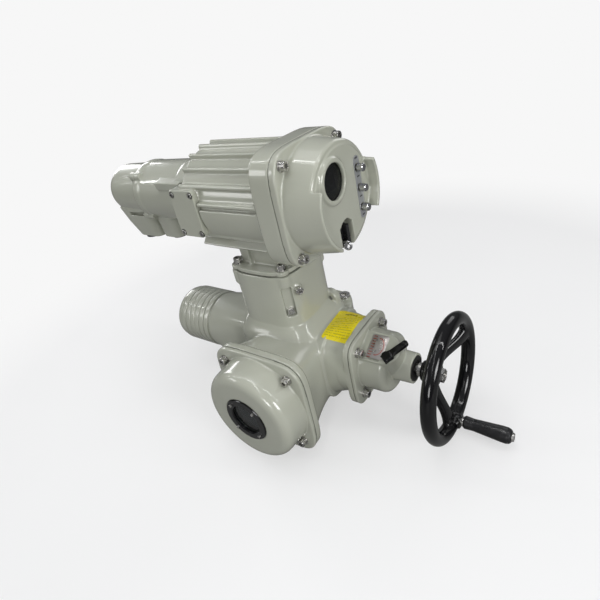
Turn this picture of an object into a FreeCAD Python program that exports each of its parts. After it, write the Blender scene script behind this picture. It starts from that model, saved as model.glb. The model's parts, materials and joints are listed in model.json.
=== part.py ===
import FreeCAD, Part
import math
import os
import Sketcher
from FreeCAD import Matrix, Placement, Rotation, Vector

# Motorized multi-turn valve actuator, millimetres.
# Frame: origin at the centre of the valve flange face, +Z up along the output
# axis, +X towards the handwheel, -X towards the motor, -Y towards the position
# indicator. The worm axis runs along X, the control unit axis runs along X
# above it, and the neck carries the control unit.

# Driving dimensions: (alias, value). A name ending in _x, _y or _z is a position.
DIMENSIONS = [
    # axes, neck and running or fixed clearances
    ("worm_y", -52.5), ("worm_z", 104.0), ("elec_z", 387.3), ("case_z", 93.7),
    ("neck_x", -26.1), ("neck_y", -57.4), ("neck_top", 275.5),
    ("gap_run", 0.05), ("gap_fix", 0.02),
    # output flange, boss and sleeve
    ("flange_rad", 62.5), ("flange_thick", 20.0), ("flange_pcd", 102.0),
    ("flange_hole_rad", 4.25), ("spigot_rad", 35.0), ("spigot_len", 3.0),
    ("boss_rad", 56.0), ("boss_top", 146.0), ("seal_rad", 39.0),
    ("sleeve_rad", 30.0), ("sleeve_bore", 21.0), ("stem_bore", 17.0),
    ("sleeve_bottom", 1.0), ("sleeve_top", 132.0),
    ("bearing_out", 45.0), ("bearing_wide", 12.0),
    # worm gearing and signal train
    ("gear_module", 2.5), ("wheel_teeth", 30.0), ("wheel_wide", 16.0),
    ("worm_pitch_rad", 15.0), ("worm_long", 54.0), ("shaft_rad", 10.0),
    ("worm_bearing_rad", 26.0),
    ("signal_teeth", 20.0), ("signal_wide", 8.0), ("signal_z", 64.0),
    ("signal_shaft_rad", 6.0), ("bush_rad", 29.0),
    ("train_module", 1.0), ("pinion_teeth", 15.0), ("dial_teeth", 45.0), ("dial_z", 94.0),
    # motor
    ("motor_front", -208.0), ("motor_back", -306.0), ("motor_rad", 56.5), ("motor_bore", 50.0),
    ("rotor_x", -250.0), ("rotor_rad", 29.0), ("stator_in", 29.6), ("rotor_long", 58.0),
    # handwheel side
    ("arm_flange_x", 117.0), ("arm_rad", 63.0), ("arm_screw", 41.4),
    ("cover_rad", 48.5), ("cover_x", 167.0), ("nose_rad", 24.5), ("nose_x", 199.0),
    ("wheel_x", 252.0), ("rim_rad", 89.0), ("rim_tube", 11.0), ("hand_shaft_rad", 8.0),
    ("grip_pos", 87.0), ("grip_x", 270.0), ("grip_long", 68.0),
    # position indicator
    ("signal_flange_y", -187.0), ("signal_screw", 63.0), ("signal_cover_y", -240.2),
    ("sight_rad", 38.2), ("sight_screw", 22.3),
    # control unit
    ("neck_screw", 45.3), ("neck_half", 62.5),
    ("elec_end_x", -125.0), ("elec_flange_x", 34.0), ("elec_face_x", 66.0),
    ("elec_flange_half", 86.5), ("fin_rad", 84.0), ("elec_core", 77.0),
    ("elec_screw", 67.1), ("cover_edge", 133.0),
    ("conn_rad", 56.5), ("conn_end", -283.0), ("cap_rad", 47.0), ("cap_end", -387.0),
]

# M8 screws: body size, tapped hole and clearance hole
SCREW_SIZE, TAP_RAD, CLEAR_RAD = 8.0, 4.0, 4.4


class Quantity:
    """A number with the sheet expression that gives it."""

    def __init__(self, number, formula):
        self.number = number
        self.formula = formula

    def __add__(self, other):
        other = quantity(other)
        return Quantity(self.number + other.number, "(%s + %s)" % (self.formula, other.formula))

    def __sub__(self, other):
        other = quantity(other)
        return Quantity(self.number - other.number, "(%s - %s)" % (self.formula, other.formula))

    def __mul__(self, other):
        other = quantity(other)
        return Quantity(self.number * other.number, "(%s * %s)" % (self.formula, other.formula))

    def __neg__(self):
        return Quantity(-self.number, "(0 - %s)" % self.formula)


def quantity(value):
    if isinstance(value, Quantity):
        return value
    return Quantity(float(value), "%.6g" % float(value))


class Names:
    """Holds the dimensions as attributes."""


doc = FreeCAD.newDocument("valve_actuator")
sheet = doc.addObject("Spreadsheet::Sheet", "Sheet")
for row, (name, value) in enumerate(DIMENSIONS, 1):
    sheet.set("A%d" % row, "%g" % value)
    sheet.setAlias("A%d" % row, name)
doc.recompute()

cell = Names()      # sheet quantities, for bound features
dim = Names()       # plain numbers read back from the sheet, for computed shapes
for name, value in DIMENSIONS:
    setattr(dim, name, float(sheet.get(name)))
    setattr(cell, name, Quantity(getattr(dim, name), "Sheet.%s" % name))

nodes = []
X, Y, Z = Vector(1, 0, 0), Vector(0, 1, 0), Vector(0, 0, 1)
XY, XZ, YZ = (X, Y), (X, Z), (Y, Z)
worm_y, worm_z, elec_z, case_z = dim.worm_y, dim.worm_z, dim.elec_z, dim.case_z
neck_x, neck_y, neck_top = dim.neck_x, dim.neck_y, dim.neck_top
worm_axis = Vector(0, worm_y, worm_z)
elec_axis = Vector(0, worm_y, elec_z)
AT_ORIGIN = (0.0, 0.0, 0.0)
AT_WORM = (0.0, cell.worm_y, cell.worm_z)


# ================================================================ bound bodies
def new_sketch(body, role, name):
    sketch = body.newObject("Sketcher::SketchObject", name)
    plane = next(item for item in body.Origin.OriginFeatures if item.Role == role)
    sketch.AttachmentSupport = [(plane, "")]
    sketch.MapMode = "FlatFace"
    return sketch


def constrain(sketch, kind, references, value):
    """Adds a dimension and binds it when it depends on the sheet."""
    index = sketch.addConstraint(Sketcher.Constraint(kind, *references, value.number))
    if "Sheet" in value.formula:
        sketch.setExpression("Constraints[%d]" % index, value.formula)


def polygon_sketch(body, role, points, name):
    sketch = new_sketch(body, role, name)
    points = [(quantity(a), quantity(b)) for a, b in points]
    corners_ = [Vector(a.number, b.number, 0) for a, b in points]
    count = len(points)
    for k in range(count):
        sketch.addGeometry(Part.LineSegment(corners_[k], corners_[(k + 1) % count]), False)
    for k in range(count):
        sketch.addConstraint(Sketcher.Constraint("Coincident", k, 2, (k + 1) % count, 1))
    for k, (across, up) in enumerate(points):
        constrain(sketch, "DistanceX", (-1, 1, k, 1), across)
        constrain(sketch, "DistanceY", (-1, 1, k, 1), up)
    return sketch


def circle_sketch(body, role, centres, radius, name):
    sketch = new_sketch(body, role, name)
    radius = quantity(radius)
    for k, centre in enumerate(centres):
        across, up = quantity(centre[0]), quantity(centre[1])
        middle = Vector(across.number, up.number, 0)
        sketch.addGeometry(Part.Circle(middle, Z, radius.number), False)
        constrain(sketch, "DistanceX", (-1, 1, k, 3), across)
        constrain(sketch, "DistanceY", (-1, 1, k, 3), up)
        constrain(sketch, "Radius", (k,), radius)
    return sketch


def turned(label, axis, points, at):
    """A PartDesign body turned about its local X, Y or Z axis; points are (along, radius)."""
    body = doc.addObject("PartDesign::Body", label)
    body.Label = label
    plane = "YZ_Plane" if axis == "Y" else "XZ_Plane"
    line = "H_Axis"
    if axis == "Z":
        points = [(radius, along) for along, radius in points]
        line = "V_Axis"
    sketch = polygon_sketch(body, plane, points, label + "_profile")
    revolution = body.newObject("PartDesign::Revolution", label + "_turn")
    revolution.Profile = sketch
    revolution.ReferenceAxis = (sketch, [line])
    revolution.Angle = 360.0
    for letter, value in zip("xyz", at):
        body.setExpression("Placement.Base.%s" % letter, quantity(value).formula)
    doc.recompute()
    nodes.append(body)
    return body


def tube(start, end, outer, inner=0.0):
    return [(start, inner), (end, inner), (end, outer), (start, outer)]


def drill(body, role, centres, radius, start, depth, name, reverse=False):
    """A pocket of round holes from a plane offset `start` along the plane normal."""
    sketch = circle_sketch(body, role, centres, radius, name + "_circles")
    sketch.AttachmentOffset = Placement(Vector(0, 0, start), Rotation())
    pocket = body.newObject("PartDesign::Pocket", name)
    before = body.Shape.Volume
    pocket.Profile = sketch
    pocket.Type = "Length"
    pocket.Length = depth
    pocket.Reversed = reverse
    doc.recompute()
    # a pocket that points away from the material is turned round
    if not pocket.Shape.Volume < before - 1e-6:
        pocket.Reversed = not reverse
        doc.recompute()
    assert pocket.Shape.Volume < before - 1e-6, name


# ================================================================ computed shapes
def feature(label, shape):
    obj = doc.addObject("Part::Feature", label)
    obj.Label = label
    obj.Shape = shape
    obj.Placement = Placement()
    nodes.append(obj)


def compound(label, shapes):
    feature(label, Part.makeCompound(shapes))


def rod(radius, length, base, axis):
    return Part.makeCylinder(radius, length, base, axis)


def cyl_x(radius, x0, x1, y=worm_y, z=worm_z):
    return rod(radius, x1 - x0, Vector(x0, y, z), X)


def cyl_y(radius, y0, y1, x, z):
    return rod(radius, y1 - y0, Vector(x, y0, z), Y)


def cyl_z(radius, z0, z1, x=0.0, y=0.0):
    return rod(radius, z1 - z0, Vector(x, y, z0), Z)


def cylinders(maker, radius, start, end, places):
    """One cylinder from cyl_x, cyl_y or cyl_z at each place."""
    return [maker(radius, start, end, *place) for place in places]


def ring(maker, start, end, outer, inner):
    return maker(outer, start, end).cut(maker(inner, start, end))


def corners(across, up, half):
    """The four corners of a square pattern."""
    return [(across + a * half, up + b * half) for a in (-1, 1) for b in (-1, 1)]


def radial(degrees):
    """Unit vector across the X axis, turned from +Y towards +Z."""
    return Vector(0, math.cos(math.radians(degrees)), math.sin(math.radians(degrees)))


def plan_direction(degrees):
    """Unit vector across the Z axis, turned from +X towards +Y."""
    return Vector(math.cos(math.radians(degrees)), math.sin(math.radians(degrees)), 0)


def box(length, width, height, x, y, z):
    return Part.makeBox(length, width, height, Vector(x, y, z))


def polygon(points):
    return Part.makePolygon(points + [points[0]])


def slab(points, along):
    return Part.Face(polygon(points)).extrude(along)


def rounded(centre, plane, half_u, half_v, power, count=40):
    """A closed smooth superellipse about centre in a plane given by two vectors."""
    points = []
    for k in range(count):
        angle = 2 * math.pi * (k + 0.5) / count
        cosine, sine = math.cos(angle), math.sin(angle)
        reach = (abs(cosine / half_u) ** power + abs(sine / half_v) ** power) ** (-1.0 / power)
        points.append(centre + plane[0] * (reach * cosine) + plane[1] * (reach * sine))
    curve = Part.BSplineCurve()
    curve.interpolate(Points=points, PeriodicFlag=True)
    return Part.Wire([curve.toShape()])


def prism(centre, plane, half_u, half_v, power, along):
    return Part.Face(rounded(centre, plane, half_u, half_v, power)).extrude(along)


def loft(plane, stations, ruled=False):
    """A loft through superellipses; stations are (x, y, z, half_u, half_v, power)."""
    wires = [rounded(Vector(x, y, z), plane, *shape) for x, y, z, *shape in stations]
    return Part.makeLoft(wires, True, ruled)


def revolved(points, centre, axis=X, side=Y):
    """Revolves (along, radius) points about an axis through centre."""
    face = Part.Face(polygon([centre + axis * a + side * r for a, r in points]))
    return face.revolve(centre, axis, 360)


def corner_arc(face, radius, rounding, way):
    """(along, radius) points from a side wall to an end face; way is the face's direction."""
    points = []
    for degrees in (0, 15, 30, 45, 60, 75, 90):
        angle = math.radians(degrees)
        points.append((face - way * rounding + way * rounding * math.sin(angle),
                       radius - rounding + rounding * math.cos(angle)))
    return points


def fuse(shapes):
    return shapes[0].multiFuse(shapes[1:]).removeSplitter()


def fillet(shape, picker, radius):
    """Rounds the edges the picker accepts."""
    edges = [edge for edge in shape.Edges if picker(edge)]
    if not edges:
        return shape
    # the kernel may refuse a fillet; the shape then keeps its sharp edges
    try:
        out = shape.makeFillet(radius, edges)
        if out.isValid() and out.Volume > 0:
            return out
    except Exception:
        pass
    return shape


def runs_along_y(edge):
    return abs(edge.tangentAt(edge.FirstParameter).y) > 0.9


def single(shape):
    """The largest solid of a shape."""
    return sorted(shape.Solids, key=lambda solid: -solid.Volume)[0]


def hexagon(centre, axis, side, across, depth):
    other = axis.cross(side)
    reach = across / math.sqrt(3.0)
    points = []
    for k in range(6):
        angle = math.radians(60 * k)
        points.append(centre + side * (reach * math.cos(angle))
                      + other * (reach * math.sin(angle)))
    return slab(points, axis * depth)


def cap_screw(seat, axis, size, length):
    """Socket cap screw: `seat` is under the head, `axis` points out of the head."""
    side = Z if abs(axis.z) < 0.5 else X
    head = rod(size * 0.8125, size, seat, axis)

    def top_rim(edge):
        return abs((edge.CenterOfMass - seat).dot(axis) - size) < 1e-3 and edge.Closed

    head = fillet(head, top_rim, size * 0.08)
    body = head.fuse(rod(size / 2.0 - 0.05, length, seat, axis * -1))
    socket = hexagon(seat + axis * (size - size * 0.5), axis, side, size * 0.75, size * 0.6)
    return single(body.cut(socket))


def screws(seats, axis, size, length, washers=True):
    """Cap screws on their seats, with plain washers under the heads if asked."""
    out = []
    thick = size * 0.2 if washers else 0.0
    for seat in seats:
        if washers:
            out.append(rod(size, thick, seat, axis).cut(rod(size / 2.0 + 0.2, thick, seat, axis)))
        out.append(cap_screw(seat + axis * thick, axis, size, length + thick))
    return out


def gasket(label, plate, bore, holes):
    feature(label, single(plate.cut(bore).cut(holes)))


def involute_profile(module, teeth, addendum, backlash, steps):
    """Outline (x, y) of an external gear, a tooth on +X, backlash taken off each tooth."""
    pitch_rad = module * teeth / 2.0
    base_rad = pitch_rad * math.cos(math.radians(20))
    tip_rad = pitch_rad + addendum
    root_rad = pitch_rad - 1.25 * module

    def involute(angle):
        return math.tan(angle) - angle

    half = math.pi / (2 * teeth) - backlash / (2 * pitch_rad) + involute(math.radians(20))
    start = max(base_rad, root_rad)
    flank = []          # (radius, half tooth angle) from root to tip
    if root_rad < base_rad:
        flank.append((root_rad, half))
    for j in range(steps + 1):
        radius = start + (tip_rad - start) * j / steps
        flank.append((radius, half - involute(math.acos(min(1.0, base_rad / radius)))))
    points = []
    for k in range(int(teeth)):
        middle = 2 * math.pi * k / teeth
        for radius, angle in flank:
            points.append((radius * math.cos(middle - angle), radius * math.sin(middle - angle)))
        for radius, angle in reversed(flank):
            points.append((radius * math.cos(middle + angle), radius * math.sin(middle + angle)))
    return points


def gear_solid(profile, centre, side, axis, width, twist=0.0, turn=0.0):
    """Gear with its profile x along side and y along +X; twist in radians over the width."""
    wires = []
    for end in (-0.5, 0.5):
        angle = turn + end * twist
        cosine, sine = math.cos(angle), math.sin(angle)
        middle = centre + axis * (end * width)
        wires.append(polygon([middle + side * (x * cosine - y * sine)
                              + X * (x * sine + y * cosine) for x, y in profile]))
    return Part.makeLoft(wires, True, True)


def helical_gear(teeth, width, centre, side, axis, turn=0.0):
    """A gear twisted to follow the worm's lead."""
    module = dim.gear_module
    tan_lead = module / (2 * dim.worm_pitch_rad)
    twist = 2 * math.atan(tan_lead * width / 2 / (module * teeth / 2))
    profile = involute_profile(module, teeth, addendum=module, backlash=0.12, steps=4)
    return gear_solid(profile, centre, side, axis, width, twist, turn)


# ================================================================ output drive
FLANGE_SCREWS = [(50.0, 0.0), (-50.0, 0.0), (0.0, 50.0), (0.0, -50.0)]
COUNTERBORE = 9.0
BEARING_BOTTOMS = (38.0, 121.0)

flange = turned("mounting_flange", "Z", [
    (-cell.spigot_len, cell.sleeve_rad + 1.0), (-cell.spigot_len, cell.spigot_rad),
    (0.0, cell.spigot_rad), (0.0, cell.flange_rad - 1.0), (1.0, cell.flange_rad),
    (cell.flange_thick, cell.flange_rad), (cell.flange_thick, cell.seal_rad),
    (9.0, cell.seal_rad), (9.0, cell.sleeve_rad + 1.0)], AT_ORIGIN)
half_pitch = cell.flange_pcd * (0.5 * math.cos(math.radians(45)))
valve_bolts = [(half_pitch, half_pitch), (-half_pitch, half_pitch),
               (-half_pitch, -half_pitch), (half_pitch, -half_pitch)]
drill(flange, "XY_Plane", valve_bolts, cell.flange_hole_rad, 0.0, 14.0, "valve_bolt_holes", True)
drill(flange, "XY_Plane", FLANGE_SCREWS, 7.0, 0.0, COUNTERBORE, "screw_counterbores", True)
drill(flange, "XY_Plane", FLANGE_SCREWS, 4.1, 0.0, 21.0, "screw_holes", True)
compound("mounting_flange_screws", screws([Vector(x, y, COUNTERBORE) for x, y in FLANGE_SCREWS],
                                          Z * -1, SCREW_SIZE, 24.0, washers=False))

turned("output_sleeve", "Z", [
    (cell.sleeve_bottom, cell.sleeve_bore + 1.0), (cell.sleeve_bottom, cell.sleeve_rad - 1.0),
    (cell.sleeve_bottom + 1.0, cell.sleeve_rad), (78.0, cell.sleeve_rad),
    (78.0, cell.sleeve_rad + 4.0), (84.0, cell.sleeve_rad + 4.0), (84.0, cell.sleeve_rad),
    (cell.sleeve_top, cell.sleeve_rad), (cell.sleeve_top, cell.stem_bore),
    (50.0, cell.stem_bore), (47.0, cell.sleeve_bore),
    (cell.sleeve_bottom + 1.0, cell.sleeve_bore)], AT_ORIGIN)
compound("output_bearings", [
    ring(cyl_z, z, z + dim.bearing_wide, dim.bearing_out - dim.gap_fix,
         dim.sleeve_rad + dim.gap_run) for z in BEARING_BOTTOMS])
turned("output_seal", "Z", tube(9.5, 19.5, cell.seal_rad - cell.gap_fix,
                                cell.sleeve_rad + cell.gap_run), AT_ORIGIN)

worm_wheel = helical_gear(dim.wheel_teeth, dim.wheel_wide, Vector(0, 0, worm_z), Y * -1, Z)
worm_wheel = worm_wheel.fuse(cyl_z(34.0, 88.0, 116.0))
feature("worm_wheel", single(worm_wheel.cut(cyl_z(dim.sleeve_rad + dim.gap_fix, 80.0, 125.0))))

# ================================================================ worm and motor
thread_pitch = math.pi * dim.gear_module


def worm_thread(root_rad):
    """The thread, sunk a little into the root so that it fuses with the core."""
    pitch_rad = dim.worm_pitch_rad
    turns = int(dim.worm_long / thread_pitch)
    start_x = thread_pitch / 2 - (turns // 2 + 1) * thread_pitch
    inner, outer = root_rad - 0.4, pitch_rad + dim.gear_module

    def half_width(radius):
        slope = math.tan(math.radians(20))
        return thread_pitch / 4 - 0.10 + slope * (pitch_rad - radius)

    profile = polygon([
        Vector(inner, 0, -half_width(inner)), Vector(outer, 0, -half_width(outer)),
        Vector(outer, 0, half_width(outer)), Vector(inner, 0, half_width(inner))])
    helix = Part.makeHelix(thread_pitch, turns * thread_pitch, pitch_rad)
    thread = Part.Wire(helix).makePipeShell([profile], True, True)
    # local Z becomes X, local X becomes +Y, local Y becomes +Z
    turn = Placement(Matrix(0, 0, 1, start_x, 1, 0, 0, worm_y, 0, 1, 0, worm_z, 0, 0, 0, 1))
    thread.Placement = turn.multiply(thread.Placement)
    return thread


def make_worm_shaft():
    root_rad = dim.worm_pitch_rad - 1.2 * dim.gear_module
    shaft = fuse([cyl_x(root_rad, -34.0, 34.0), cyl_x(dim.shaft_rad, -302.0, 66.0),
                  cyl_x(9.0, 66.0, 140.0), cyl_x(16.0, 140.0, 149.5)])
    feature("worm_shaft", single(shaft.fuse(worm_thread(root_rad))))


make_worm_shaft()
MOTOR_BEARING_RAD = 20.0
worm_bearing_out = dim.worm_bearing_rad - dim.gap_fix
compound("worm_bearings", [
    ring(cyl_x, x0, x1, outer, dim.shaft_rad + dim.gap_run) for x0, x1, outer in (
        (46.0, 60.0, worm_bearing_out), (-60.0, -46.0, worm_bearing_out),
        (-301.0, -292.0, MOTOR_BEARING_RAD - dim.gap_fix))])

rotor_x, rotor_half = dim.rotor_x, dim.rotor_long / 2
rotor = cyl_x(dim.rotor_rad, rotor_x - rotor_half, rotor_x + rotor_half)
rotor = rotor.fuse([cyl_x(24.0, rotor_x - rotor_half - 4, rotor_x + rotor_half + 4)])
feature("motor_rotor", single(rotor.cut(cyl_x(dim.shaft_rad + dim.gap_fix, -300.0, -200.0))))
turned("motor_stator", "X", tube(
    cell.rotor_x - cell.rotor_long * 0.5, cell.rotor_x + cell.rotor_long * 0.5,
    cell.motor_bore - cell.gap_fix, cell.stator_in), AT_WORM)
windings = [ring(cyl_x, rotor_x + 29.05, rotor_x + 38.0, 47.0, 32.0),
            ring(cyl_x, rotor_x - 38.0, rotor_x - 29.05, 47.0, 32.0)]
compound("stator_windings", [
    fillet(coil, lambda edge: edge.Closed and edge.Length > 100, 3.0) for coil in windings])


def motor_profile():
    """(along, radius) outline: six bands outside, then the end cap and the inside."""
    front, back, crest, bore = dim.motor_front, dim.motor_back, dim.motor_rad, dim.motor_bore
    x = front - 3.0
    points = [(front, 53.0), (x, 53.0)]
    for _ in range(6):
        points += [(x, crest - 0.9), (x - 0.8, crest), (x - 10.4, crest),
                   (x - 11.2, crest - 0.9), (x - 11.2, 54.0), (x - 13.0, 54.0)]
        x -= 13.0
    points += [
        (x, 55.0), (-295.0, 54.4), (-299.5, 52.8), (-303.0, 49.6), (-305.2, 45.0), (back, 39.0),
        (back, 0.0), (-302.5, 0.0), (-302.5, MOTOR_BEARING_RAD), (-291.5, MOTOR_BEARING_RAD),
        (-291.5, 24.0), (-299.0, 28.0), (-299.0, 42.0), (-294.0, bore), (front, bore)]
    # bound by their offsets from the front and the bore
    return [(cell.motor_front + (along - front),
             cell.motor_bore + (radius - bore) if radius > 0 else 0.0)
            for along, radius in points]


turned("motor_housing", "X", motor_profile(), AT_WORM)

# ================================================================ signal train
TRAIN_Y = -158.0        # mid plane of the pinion and the indicator gear
signal_z, dial_z = dim.signal_z, dim.dial_z
signal_shaft = dim.signal_shaft_rad

# the wheel's tooth towards the worm sits in the thread gap a quarter pitch towards -X
signal_turn = -(thread_pitch / 4) / (dim.gear_module * dim.signal_teeth / 2)
signal_wheel = helical_gear(dim.signal_teeth, dim.signal_wide, Vector(0, worm_y, signal_z),
                            Z, Y, signal_turn)
signal_wheel = signal_wheel.fuse(cyl_y(12.0, worm_y - 4, worm_y + 7, 0, signal_z))
feature("signal_wheel", single(signal_wheel.cut(
    cyl_y(signal_shaft + dim.gap_fix, worm_y - 6, worm_y + 8, 0, signal_z))))
turned("signal_shaft_bush", "Y", tube(
    -140.0, -71.0, cell.bush_rad - cell.gap_fix, cell.signal_shaft_rad + cell.gap_run),
    (0.0, 0.0, cell.signal_z))

pinion_profile = involute_profile(dim.train_module, dim.pinion_teeth,
                                  addendum=0.95, backlash=0.08, steps=3)
pinion = gear_solid(pinion_profile, Vector(0, TRAIN_Y, signal_z), Z, Y, 10.0,
                    turn=math.pi / dim.pinion_teeth)
feature("signal_pinion_shaft", single(pinion.fuse(
    cyl_y(signal_shaft, -168.0, -44.0, 0, signal_z))))

dial_profile = involute_profile(dim.train_module, dim.dial_teeth,
                                addendum=0.9, backlash=0.08, steps=3)
dial_gear = gear_solid(dial_profile, Vector(0, TRAIN_Y, dial_z), Z * -1, Y, 6.0)
dial_gear = dial_gear.fuse(cyl_y(9.0, -168.0, -154.0, 0, dial_z))
feature("indicator_gear", single(dial_gear.cut(cyl_y(4.02, -170.0, -150.0, 0, dial_z))))

AT_DIAL = (0.0, 0.0, cell.dial_z)
plate = turned("signal_plate", "Y", tube(-152.0, -146.0, 49.9), AT_DIAL)
drill(plate, "XZ_Plane", [(0.0, cell.signal_z - cell.dial_z)], 6.5, 140.0, 15.0,
      "signal_shaft_hole")
drill(plate, "XZ_Plane", [(0.0, 0.0)], 4.05, 140.0, 15.0, "spindle_hole")
turned("indicator_disc", "Y", [
    (-147.0, 0.0), (-147.0, 4.0), (-224.0, 4.0), (-224.0, 27.0), (-226.0, 27.0),
    (-226.0, 0.0)], AT_DIAL)

# ================================================================ gear housing
flange_y, arm_x = dim.signal_flange_y, dim.arm_flange_x
signal_corners = corners(0, case_z, dim.signal_screw)       # (x, z)
arm_corners = corners(worm_y, worm_z, dim.arm_screw)        # (y, z)
neck_corners = corners(neck_x, neck_y, dim.neck_screw)      # (x, y)
OIL_PLACE = (34.0, 26.0)
LUG_PLACE = (31.0, 176.0)       # eye of the lifting lug, (x, z)
# plug boss on the side of the neck
plug_dir = plan_direction(-31)
plug_base = Vector(neck_x, neck_y, 246.0) + plug_dir * 50.0
plug_face = plug_base + plug_dir * 22.0
# pocket in the neck's corner between +X and -Y
pocket_dir = plan_direction(-46)
pocket_side = Z.cross(pocket_dir)
pocket_base = Vector(neck_x, neck_y, 0) + pocket_dir * 66.0
earth_seat = pocket_base + Z * 210.0


def output_boss():
    top, flange_top = dim.boss_top, dim.flange_thick
    boss = fillet(cyl_z(dim.boss_rad, 30.0, top),
                  lambda edge: abs(edge.CenterOfMass.z - top) < 1e-3 and edge.Closed, 4.0)
    return [cyl_z(dim.flange_rad, flange_top, 32.0),
            Part.makeCone(dim.flange_rad, dim.boss_rad, 12.0, Vector(0, 0, 32.0), Z), boss]


def worm_case():
    """The case along the worm, from the motor joint to the handwheel flange."""
    minus_x = loft(YZ, [
        (-208.0, worm_y, 104.0, 55.0, 55.0, 2.0), (-170.0, worm_y, 103.0, 56.5, 56.0, 2.7),
        (-120.0, worm_y, 100.0, 59.5, 60.0, 3.8), (-68.0, worm_y, 97.0, 63.5, 66.0, 4.0)])
    middle = prism(Vector(-68.0, worm_y, 97.0), YZ, 63.5, 66.0, 4.0, X * 136.0)
    arm_half = dim.arm_rad - 0.9
    plus_x = loft(YZ, [
        (58.0, worm_y, 98.5, 61.5, 64.0, 3.4), (84.0, worm_y, 102.5, 62.2, 63.2, 2.3),
        (96.0, worm_y, 104.0, arm_half, arm_half, 2.0)])
    arm_flange = prism(Vector(107.0, worm_y, worm_z), YZ, 62.0, 62.0, 5.5, X * (arm_x - 107.0))
    return [minus_x, middle, plus_x, cyl_x(dim.arm_rad, 92.0, 110.0), arm_flange]


def signal_arm():
    """The arm towards -Y with its square flange."""
    back_y = -176.8
    arm = loft(XZ, [
        (0.0, -175.8, 93.7, 79.0, 79.0, 5.0), (1.0, -150.0, 94.5, 71.0, 72.5, 4.6),
        (4.0, -122.0, 95.0, 63.5, 69.0, 4.4), (5.0, -40.0, 96.0, 61.0, 67.0, 4.4)])
    flange_plate = prism(Vector(0, back_y, case_z), XZ, 87.0, 87.0, 5.2, Y * (flange_y - back_y))
    flange_taper = loft(XZ, [
        (0, back_y, case_z, 87.0, 87.0, 5.2), (0, back_y + 10.0, case_z, 77.0, 77.0, 5.0)])
    return [arm, flange_plate, flange_taper]


def neck():
    low_z, half = 181.0, dim.neck_half
    lower = loft(XY, [
        (neck_x + 4.0, neck_y, 150.0, 79.0, 76.0, 4.2),
        (neck_x + 4.0, neck_y, 160.0, 77.0, 75.0, 4.2),
        (neck_x + 2.0, neck_y, 172.0, 69.5, 68.0, 3.8),
        (neck_x, neck_y, low_z, half + 1.2, half + 1.2, 3.5)])
    foot = prism(Vector(neck_x + 4.0, neck_y, 130.0), XY, 79.0, 76.0, 4.2, Z * 20.0)
    upper = prism(Vector(neck_x, neck_y, low_z), XY, half, half, 3.5, Z * (neck_top - low_z))
    parts = [lower, upper, foot]
    for x, y in neck_corners:
        parts.append(cyl_z(12.5, 252.0, neck_top, x, y))
        parts.append(Part.makeCone(3.0, 12.5, 14.0, Vector(x, y, 238.0), Z))
    return parts


def lifting_lug():
    lug = box(32.0, 13.0, 30.0, 15.0, -15.5, 146.0).fuse(cyl_y(16.0, -15.5, -2.5, *LUG_PLACE))
    return single(lug.removeSplitter())


def housing_voids():
    bearing = dim.worm_bearing_rad
    pocket = [pocket_base + pocket_side * across + Z * z
              for across, z in ((-8.0, 202.0), (8.0, 202.0), (8.0, 256.0), (-8.0, 256.0))]
    return [
        cyl_z(dim.bearing_out, dim.flange_thick - 1, 134.0),
        cyl_z(8.0, 130.0, dim.boss_top + 12.0, *OIL_PLACE),
        cyl_x(22.0, -60.5, 60.5), cyl_x(bearing, 45.5, 61.0), cyl_x(bearing, -61.0, -45.5),
        cyl_x(14.0, -209.0, -60.0), cyl_x(49.0, -209.0, -196.0),
        cyl_x(14.0, 60.0, 118.0), cyl_x(42.0, 90.0, 118.0),
        cyl_y(50.0, flange_y - 1, -145.95, 0, dial_z),
        cyl_y(dim.bush_rad, -147.0, -42.0, 0, signal_z),
        cyl_z(43.0, 196.0, neck_top + 1, neck_x, neck_y),
        cyl_y(6.0, -18.0, 16.0, *LUG_PLACE),
        slab(pocket, pocket_dir * 16.0),
    ]


def housing_taps():
    taps = []
    for signal, arm, top in zip(signal_corners, arm_corners, neck_corners):
        taps.append(cyl_y(TAP_RAD, flange_y - 1, flange_y + 14, *signal))
        taps.append(cyl_x(TAP_RAD, arm_x - 10.6, arm_x + 1, *arm))
        taps.append(cyl_z(TAP_RAD, neck_top - 19, neck_top + 1, *top))
    taps += cylinders(cyl_z, TAP_RAD, dim.flange_thick - 1, 36.0, FLANGE_SCREWS)
    taps.append(rod(TAP_RAD, 14.0, plug_face, plug_dir * -1))
    taps.append(rod(3.0, 13.0, earth_seat + pocket_dir, pocket_dir * -1))
    return taps


oil_boss = Part.makeCone(13.5, 12.0, 12.0, Vector(*OIL_PLACE, dim.boss_top - 2.0), Z)
housing = fuse(output_boss() + worm_case() + signal_arm() + neck()
               + [lifting_lug(), oil_boss, rod(8.5, 22.0, plug_base, plug_dir)])
feature("gear_housing", single(housing.cut(housing_voids() + housing_taps())))

# filler plug on the output boss
oil_seat = Vector(*OIL_PLACE, dim.boss_top + 10.02)
oil_plug = rod(11.0, 4.0, oil_seat, Z).fuse(rod(7.95, 14.0, oil_seat, Z * -1))
oil_plug = fillet(single(oil_plug),
                  lambda edge: edge.Closed and edge.CenterOfMass.z > oil_seat.z + 3.9, 1.0)
feature("oil_filler_plug", single(oil_plug.cut(hexagon(oil_seat + Z * 0.5, Z, X, 10.0, 5.0))))

# ================================================================ position indicator cover
case_axis = Vector(0, 0, case_z)
sight_y = dim.signal_cover_y
sight_corners = corners(0, case_z, dim.sight_screw)

gasket("signal_cover_gasket",
       prism(Vector(0, flange_y, case_z), XZ, 86.6, 86.6, 5.2, Y * -1.0),
       cyl_y(60.0, flange_y - 2, flange_y + 1, 0, dial_z),
       cylinders(cyl_y, CLEAR_RAD, flange_y - 2, flange_y + 1, signal_corners))


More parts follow.
